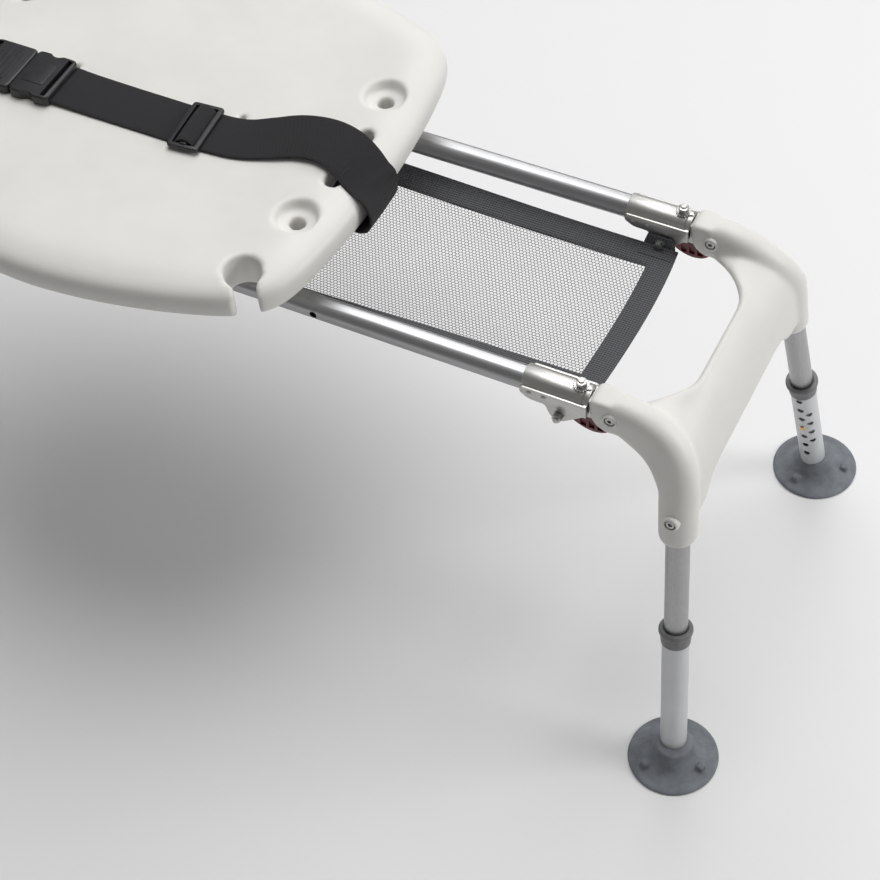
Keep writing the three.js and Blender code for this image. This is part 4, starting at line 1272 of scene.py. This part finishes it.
def pivot_screw():
    high = HORN_HALF + 1.3
    one = socket_screw(0, high)
    two = move(socket_screw(0, high), UPSIDE_DOWN)
    shaft = cylinder("shaft", 3.5, -HORN_HALF + 1.6, HORN_HALF - 1.6, 32)
    return along_y(merge("pivot_screw", one, two, shaft), (PIVOT.x, 0, PIVOT.z))


def add_corner_pieces():
    kinds = {
        "hinge_bracket": (bracket(), "bench", "stainless"),
        "clamp_nut": (clamp_nut(), "bench", "fastener"),
        "ear_bolt": (ear_bolt(), "bench", "fastener"),
        "latch_lever": (lever(), "lever", "red_plastic"),
        "pivot_screw": (pivot_screw(), "end", "fastener"),
    }
    for kind, (master, rider, slot) in kinds.items():
        for tag, end, turn, side in each_corner():
            mirror = ACROSS if side > 0 else Matrix.Identity(4)
            place = turn @ Matrix.Translation((0, side * RAIL_Y, 0)) @ mirror
            piece = copy_of(master, place)
            if side > 0:
                piece.data.flip_normals()
            body = {"bench": "bench", "end": f"end_{end}", "lever": f"latch_lever_{tag}"}[rider]
            done(piece, f"{kind}_{tag}_fine", body, [f"{kind}_{tag}"], slot)
        bpy.data.objects.remove(master)


# ---------------------------------------------------------------- net sling

SLING_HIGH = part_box("net_sling")[1]
SLING_HALF_X = SLING_HIGH.x / MM
SLING_Z = 369
END_HEM = 23
SIDE_HEM = 26
NET_PITCH = 3.6
NET_THREAD = 0.68
TAB_AT = 98  # distance of the corner tabs from the middle of the bench
BAND_STEPS = 6


def sling_half_y(x):
    """The sling is wider between the brackets than beside them."""
    return 97.6 + 6 * (1 - ease(abs(x), 150, 430))


def sling_height(x, y):
    u = x / SLING_HALF_X
    v = y / sling_half_y(x)
    sag = 6 * (1 - u * u) * (1 - v * v) + 4 * (1 - v * v)
    ripple = math.sin(x / 31 + y / 44) + 0.7 * math.sin(x / 19 - y / 37 + 1.3)
    return SLING_Z - sag + 1.1 * ripple * (1 - u * u) * (1 - v * v)


def sling_point(x, y):
    """Where a point of the flat sling hangs; the end bands bow outwards, most of all
    beside the corner that a half turn brings to the far right."""
    reach = max(0.0, abs(x) / SLING_HALF_X) ** 6
    skew = 1 + 0.5 * math.copysign(y / TAB_AT, x * y)
    bow = 3.5 * (1 - (y / TAB_AT) ** 2) * skew * reach
    return Vector((x + math.copysign(bow, x), y, sling_height(x, y))) * MM


def net_mesh():
    """Knitted net: six-sided cells in staggered rows, drawn out along the rails."""
    half_x = SLING_HALF_X - END_HEM + 2
    step_x = NET_PITCH
    step_y = NET_PITCH * 0.86
    index = {}
    vertices = []
    faces = []

    def corner(x, y):
        key = (round(x * 50), round(y * 50))
        if key not in index:
            index[key] = len(vertices)
            wave = 0.5 * math.sin(x / 23) + 0.4 * math.sin(y / 17 + x / 61)
            vertices.append(sling_point(x, y + wave))
        return index[key]

    rows = int(2 * 84 / step_y)
    columns = int(2 * half_x / step_x)
    for row in range(rows):
        cy = (row - (rows - 1) / 2) * step_y
        shift = step_x / 2 if row % 2 else 0
        for column in range(columns):
            cx = (column - (columns - 1) / 2) * step_x + shift
            if abs(cx) > half_x or abs(cy) > sling_half_y(cx) - SIDE_HEM + 5:
                continue
            low, high = step_y * 0.34, step_y * 0.66
            half = step_x / 2
            ring = [(0, -high), (half, -low), (half, low), (0, high), (-half, low), (-half, -low)]
            faces.append([corner(cx + x, cy + y) for x, y in ring])
    net = mesh_object("net", vertices, faces)
    wire = net.modifiers.new("threads", "WIREFRAME")
    wire.thickness = NET_THREAD * MM
    wire.use_even_offset = False
    wire.use_boundary = True
    return apply_modifiers(net)


def hem_stations():
    """Places along the sling for the hem's rows, close together in the end bands."""
    ends = [END_HEM * k / BAND_STEPS for k in range(BAND_STEPS)]
    inner = SLING_HALF_X - END_HEM
    between = [mix(-inner, inner, k / 90) for k in range(91)]
    return [-SLING_HALF_X + d for d in ends] + between + [SLING_HALF_X - d for d in reversed(ends)]


def hem_across(half_y):
    """Places across the sling for one row of the hem, close together in the side bands."""
    sides = [SIDE_HEM * k / BAND_STEPS for k in range(BAND_STEPS + 1)]
    between = [(half_y - SIDE_HEM) * (2 * k / 12 - 1) for k in range(1, 12)]
    return [-half_y + d for d in sides] + between + [half_y - d for d in reversed(sides)]


def hem_mesh():
    """The woven binding: a puffed band along all four edges."""
    xs = hem_stations()
    vertices = []
    for x in xs:
        half_y = sling_half_y(x)
        across = hem_across(half_y)
        for y in across:
            from_edge = min(half_y - abs(y), SLING_HALF_X - abs(x))
            puff = 0.7 * math.sin(math.pi * min(1.0, max(0.0, from_edge / SIDE_HEM)))
            vertices.append(sling_point(x, y) + Vector((0, 0, puff * MM)))
    faces = []
    rows, columns = len(xs), len(across)
    for i in range(rows - 1):
        for j in range(columns - 1):
            in_end = i < BAND_STEPS or i >= rows - 1 - BAND_STEPS
            in_side = j < BAND_STEPS or j >= columns - 1 - BAND_STEPS
            if in_end or in_side:
                a = i * columns + j
                faces.append([a, a + columns, a + columns + 1, a + 1])
    hem = mesh_object("hem", vertices, faces)
    solid = hem.modifiers.new("thick", "SOLIDIFY")
    solid.thickness = 2.2 * MM
    solid.offset = 0
    apply_modifiers(hem)
    return bevel(hem, 0.7, 2, 60)


def corner_tab():
    """The end of a side hem, turned up against the inside of a bracket's ear."""
    path = smooth_profile([
        (83, 369.4), (89, 369.7), (93.2, 370.6), (95.7, 372.6), (96.7, 375.6), (97.0, 379), (97.1, 384),
    ], 4)
    rings = []
    for i, (y, z) in enumerate(path):
        before = path[max(i - 1, 0)]
        after = path[min(i + 1, len(path) - 1)]
        away = Vector((after[1] - before[1], before[0] - after[0])).normalized() * 0.8
        left = i / (len(path) - 1)
        half = 16 - 4 * left ** 3
        x0, x1 = EAR_BOLT.x / MM - half, EAR_BOLT.x / MM + half
        ring = [(x0, y + away.x, z + away.y), (x1, y + away.x, z + away.y),
                (x1, y - away.x, z - away.y), (x0, y - away.x, z - away.y)]
        rings.append([Vector(point) * MM for point in ring])
    return bevel(loft("tab", rings), 0.5, 2)


def stitches(name, path, length=2.6, gap=1.9, radius=0.38):
    """A row of thread dashes that stands a little out of the cloth. path is a list of
    (point, normal) pairs in metres, close together."""
    parts = []
    travelled = 0.0
    for (a, normal), (b, _) in zip(path, path[1:]):
        step = (b - a).length
        if travelled >= 0:
            along = (b - a).normalized()
            dash = lathe("dash", [
                (0, -length / 2), (radius * 0.7, -length / 2 + 0.2), (radius, 0),
                (radius * 0.7, length / 2 - 0.2), (0, length / 2),
            ], 8)
            turn = along.to_track_quat("Z", "Y").to_matrix().to_4x4()
            parts.append(move(dash, Matrix.Translation(a + normal * 0.1 * MM) @ turn))
            travelled = -(length + gap) * MM
        travelled += step
    return merge(name, *parts)


def hem_stitching():
    """One row along each hem, near its inner edge."""
    rows = []
    inner_x = SLING_HALF_X - END_HEM + 2.5
    up = Vector((0, 0, 1))
    for side in (-1, 1):
        path = []
        for k in range(1200):
            x = mix(-inner_x, inner_x, k / 1199)
            point = sling_point(x, side * (sling_half_y(x) - SIDE_HEM + 2.5))
            path.append((point + up * 1.25 * MM, up))
        rows.append(stitches("row", path))
        path = []
        for k in range(260):
            y = mix(-74, 74, k / 259)
            path.append((sling_point(side * inner_x, y) + up * 1.25 * MM, up))
        rows.append(stitches("row", path))
    return merge("stitching", *rows)


def add_sling():
    net = net_mesh()
    hem = hem_mesh()
    tabs = []
    for turn in (Matrix.Identity(4), HALF_TURN):
        for side in (-1, 1):
            tab = corner_tab()
            if side < 0:
                tab = move(tab, ACROSS)
                tab.data.flip_normals()
            tabs.append(move(tab, turn))
    band_faces = len(hem.data.polygons) + sum(len(tab.data.polygons) for tab in tabs)
    sling = merge("sling", hem, *tabs, net)
    done(sling, "net_sling_cloth", "bench", ["net_sling"], "net_fabric", angle=50)
    sling.data.materials.append(MATERIALS["hem"])
    for polygon in sling.data.polygons:
        polygon.material_index = 1 if polygon.index < band_faces else 0
    thread = done(hem_stitching(), "net_sling_stitching", "bench", ["net_sling"], "net_fabric")
    [f"ear_bolt_{tag}_fine" for tag, _, _, _ in each_corner()]


# ---------------------------------------------------------------- lap belt

BELT_THICK = 1.9
BELT_WIDTH = 50
BUCKLE_AT = -106
BUCKLE_HALF = 29
EDGE_WRAP = [
    (247, -20, 468.5, 50), (253.5, -23, 460, 50), (256, -25, 450, 50), (253, -26, 440.5, 50),
    (246, -26, 434.6, 50), (236, -25, 433.2, 49), (224, -23, 433.4, 47), (214.5, -20, 436.5, 45),
    (211, -19, 444, 44), (210.5, -19, 456, 44), (210.5, -19, 463, 44),
]


def belt_station(x, y, lift, roll=0.0):
    """A point of the strap on the seat: centre and width, with its far edge raised."""
    return (x, y, seat_height(x, y) + 1.2 + lift, BELT_WIDTH, roll)


def strap_side(along):
    """The way across a strap that runs along: level, and towards +Y."""
    flat = Vector((along.x, along.y, 0))
    if flat.length < 0.75:
        return Vector((0, 1, 0))
    side = Vector((0, 0, 1)).cross(flat).normalized()
    return -side if side.y < 0 else side


def ribbon(name, stations, steps=8):
    """A webbing strap through stations of (x, y, z, width, roll in degrees)."""
    rows = [station if len(station) == 5 else (*station, 0.0) for station in stations]
    rows = smooth_profile(rows, steps)
    alongs = []
    for before, after in zip([rows[0], *rows[:-1]], [*rows[1:], rows[-1]]):
        alongs.append((Vector(after[:3]) - Vector(before[:3])).normalized())
    sides = [strap_side(along) for along in alongs]
    for _ in range(3 * steps):
        around = zip([sides[0], *sides[:-1]], sides, [*sides[1:], sides[-1]])
        sides = [(a + b * 2 + c).normalized() for a, b, c in around]
    rings = []
    for (x, y, z, width, roll), along, side in zip(rows, alongs, sides):
        side = (side - along * side.dot(along)).normalized()
        normal = along.cross(side)
        turn = Matrix.Rotation(math.radians(roll), 3, along)
        side, normal = turn @ side, turn @ normal
        ring = []
        count = 14
        for k in range(count + 1):
            across = (2 * k / count - 1) * width / 2
            crown = 0.35 * (1 - (2 * k / count - 1) ** 2)
            ring.append(Vector((x, y, z)) + side * across + normal * (BELT_THICK / 2 + crown))
        for k in range(count, -1, -1):
            across = (2 * k / count - 1) * width / 2
            ring.append(Vector((x, y, z)) + side * across - normal * BELT_THICK / 2)
        rings.append([point * MM for point in ring])
    return bevel(loft(name, rings), 0.5, 2, 60)


def cross_stitch(x, y, width):
    """A sewn line across the strap."""
    path = []
    up = Vector((0, 0, 1))
    for k in range(120):
        across = mix(-width / 2 + 3, width / 2 - 3, k / 119)
        px, py = x + 0.1 * across, y + across
        level = seat_height(px, py) + 5.2 - 0.06 * across
        path.append((Vector((px, py, level)) * MM, up))
    return stitches("cross_stitch", path, 2.2, 1.2, 0.3)


def add_straps():
    middle_y = middle("belt_slider").y / MM + 2
    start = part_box("belt_strap_right")[0].x / MM
    on_seat = [
        belt_station(start, middle_y, 3.6), belt_station(start + 24, middle_y, 1.6),
        belt_station(-20, middle_y, 0.6), belt_station(24, middle_y, 0.4),
        belt_station(62, middle_y, 0.3), belt_station(92, middle_y + 1, 0.8),
        belt_station(114, middle_y + 4, 2, 2), belt_station(137, middle_y + 12, 4.5, 4),
        belt_station(160, middle_y + 21, 6.5, 6), belt_station(184, middle_y + 24, 7, 7),
        belt_station(205, middle_y + 20, 6.4, 6), belt_station(222, middle_y + 13, 4.6, 3),
        belt_station(236, middle_y + 6, 2.8, 1),
    ]
    right = ribbon("strap_right", on_seat + EDGE_WRAP)
    done(right, "belt_strap_right_webbing", "seat", ["belt_strap_right"], "webbing", angle=60)
    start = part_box("belt_strap_left")[1].x / MM
    on_seat = [
        belt_station(start, middle_y, 3.6), belt_station(start - 14, middle_y, 1.6),
        belt_station(-205, middle_y, 1), belt_station(-222, middle_y - 1, 1),
        belt_station(-236, middle_y - 2, 1.4),
    ]
    wrap = [(-x, y, z, width) for x, y, z, width in EDGE_WRAP]
    left = ribbon("strap_left", on_seat + wrap)
    done(left, "belt_strap_left_webbing", "seat", ["belt_strap_left"], "webbing", angle=60)
    seam = cross_stitch(221, middle_y + 13, BELT_WIDTH)
    done(seam, "belt_stitching", "seat", ["belt_strap_right"], "webbing", "black_plastic")


def rounded_box(low, high, radius, depth=1.0):
    """A block whose four upright corners are round, with its rims bevelled."""
    outline = rounded([(low[0], low[1]), (high[0], low[1]), (high[0], high[1]), (low[0], high[1])], radius)
    return bevel(prism("box", millimetres(outline), low[2] * MM, high[2] * MM, "Z"), depth, 3)


def add_slider():
    """Tri-glide: a frame with a middle bar, and the strap's loop over that bar."""
    centre = middle("belt_slider") / MM
    level = seat_height(centre.x, centre.y) + 2.6
    half_x, half_y = 16, 30
    body = rounded_box((-half_x, -half_y, 0), (half_x, half_y, 4.6), 4, 1.3)
    for low, high in ((-11.5, -3), (3, 11.5)):
        outline = rounded([(low, -26), (high, -26), (high, 26), (low, 26)], 1.5)
        boolean(body, prism("window", millimetres(outline), -0.01, 0.02, "Z"))
    bar = bevel(block("bar", (-0.0035, -0.027, 0.001), (0.0035, 0.027, 0.0062)), 1.4, 3)
    place = Matrix.Translation(Vector((centre.x, centre.y, level)) * MM) @ Matrix.Rotation(0.07, 4, "Z")
    frame_part = move(merge("slider", body, bar), place)
    done(frame_part, "belt_slider_frame", "seat", ["belt_slider"], "black_plastic")
    loop = [
        (-13, 0, -1.2, 49), (-10, 0, 0.6, 49), (-7, 0, 4.6, 49), (-3, 0, 7.3, 49), (0, 0, 7.9, 49),
        (3, 0, 7.3, 49), (7, 0, 4.6, 49), (10, 0, 0.6, 49), (13, 0, -1.2, 49),
    ]
    over = move(ribbon("loop", loop, 4), place)
    done(over, "belt_slider_loop", "seat", ["belt_strap_right"], "webbing", angle=60)


def strap_slot(x, y, level):
    """Cutter for the slot that a strap loops through, 5 mm wide from x."""
    return brick("slot", (x, y - 25.5, level - 1), (x + 5, y + 25.5, level + 12))


def buckle_socket(low, high, y, level):
    """The socket: cheek windows, a mouth, a strap slot and a raised panel."""
    socket = rounded_box((low, y - BUCKLE_HALF, level), (high, y + BUCKLE_HALF, level + 11), 7, 2.2)
    for side in (-1, 1):
        cheek = cylinder("cheek", 9, level - 5, level + 20, 48)
        boolean(socket, shift(cheek, low + 21, y + side * 34))
    boolean(socket, brick("mouth", (low - 1, y - 24, level + 2.4), (low + 32, y + 24, level + 8.6)))
    boolean(socket, strap_slot(high - 9, y, level))
    panel = rounded_box((low + 6, y - 14, level + 10.6), (low + 30, y + 14, level + 11.5), 4, 0.4)
    return merge("socket", socket, panel)


def buckle_plug(low, mid, high, y, level):
    """The plug: a body with a strap slot and grip ribs, and three prongs."""
    plug = rounded_box((low, y - BUCKLE_HALF, level), (mid, y + BUCKLE_HALF, level + 10.4), 7, 2.2)
    boolean(plug, strap_slot(low + 4, y, level))
    parts = [plug]
    for offset in (-19, 0, 19):
        near, far = y + offset - 3.6, y + offset + 3.6
        parts.append(rounded_box((mid - 3, near, level + 3.2), (high, far, level + 7.8), 2, 0.6))
    for k in range(4):
        x = low + 16 + 6 * k
        parts.append(rounded_box((x, y - 20, level + 9.8), (x + 2.4, y + 20, level + 11.2), 1, 0.4))
    return merge("plug", *parts)


def add_buckle():
    y = middle("buckle_socket").y / MM
    level = seat_height(BUCKLE_AT, middle("belt_slider").y / MM) + 0.6
    low, high = (corner.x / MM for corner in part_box("buckle_socket"))
    socket = buckle_socket(low, high, y, level)
    done(socket, "buckle_socket_fine", "seat", ["buckle_socket"], "black_plastic")
    plug_low, plug_high = (corner.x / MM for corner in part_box("buckle_plug"))
    plug = buckle_plug(plug_low, low - 0.3, plug_high, y, level)
    done(plug, "buckle_plug_fine", "seat", ["buckle_plug"], "black_plastic")


# ---------------------------------------------------------------- assembly


add_camera()
add_stage()
add_seat()
add_carriage()
add_shoes()
add_lock_pin()
add_rails()
add_end_frames()
add_legs()
add_corner_pieces()
add_sling()
add_straps()
add_slider()
add_buckle()
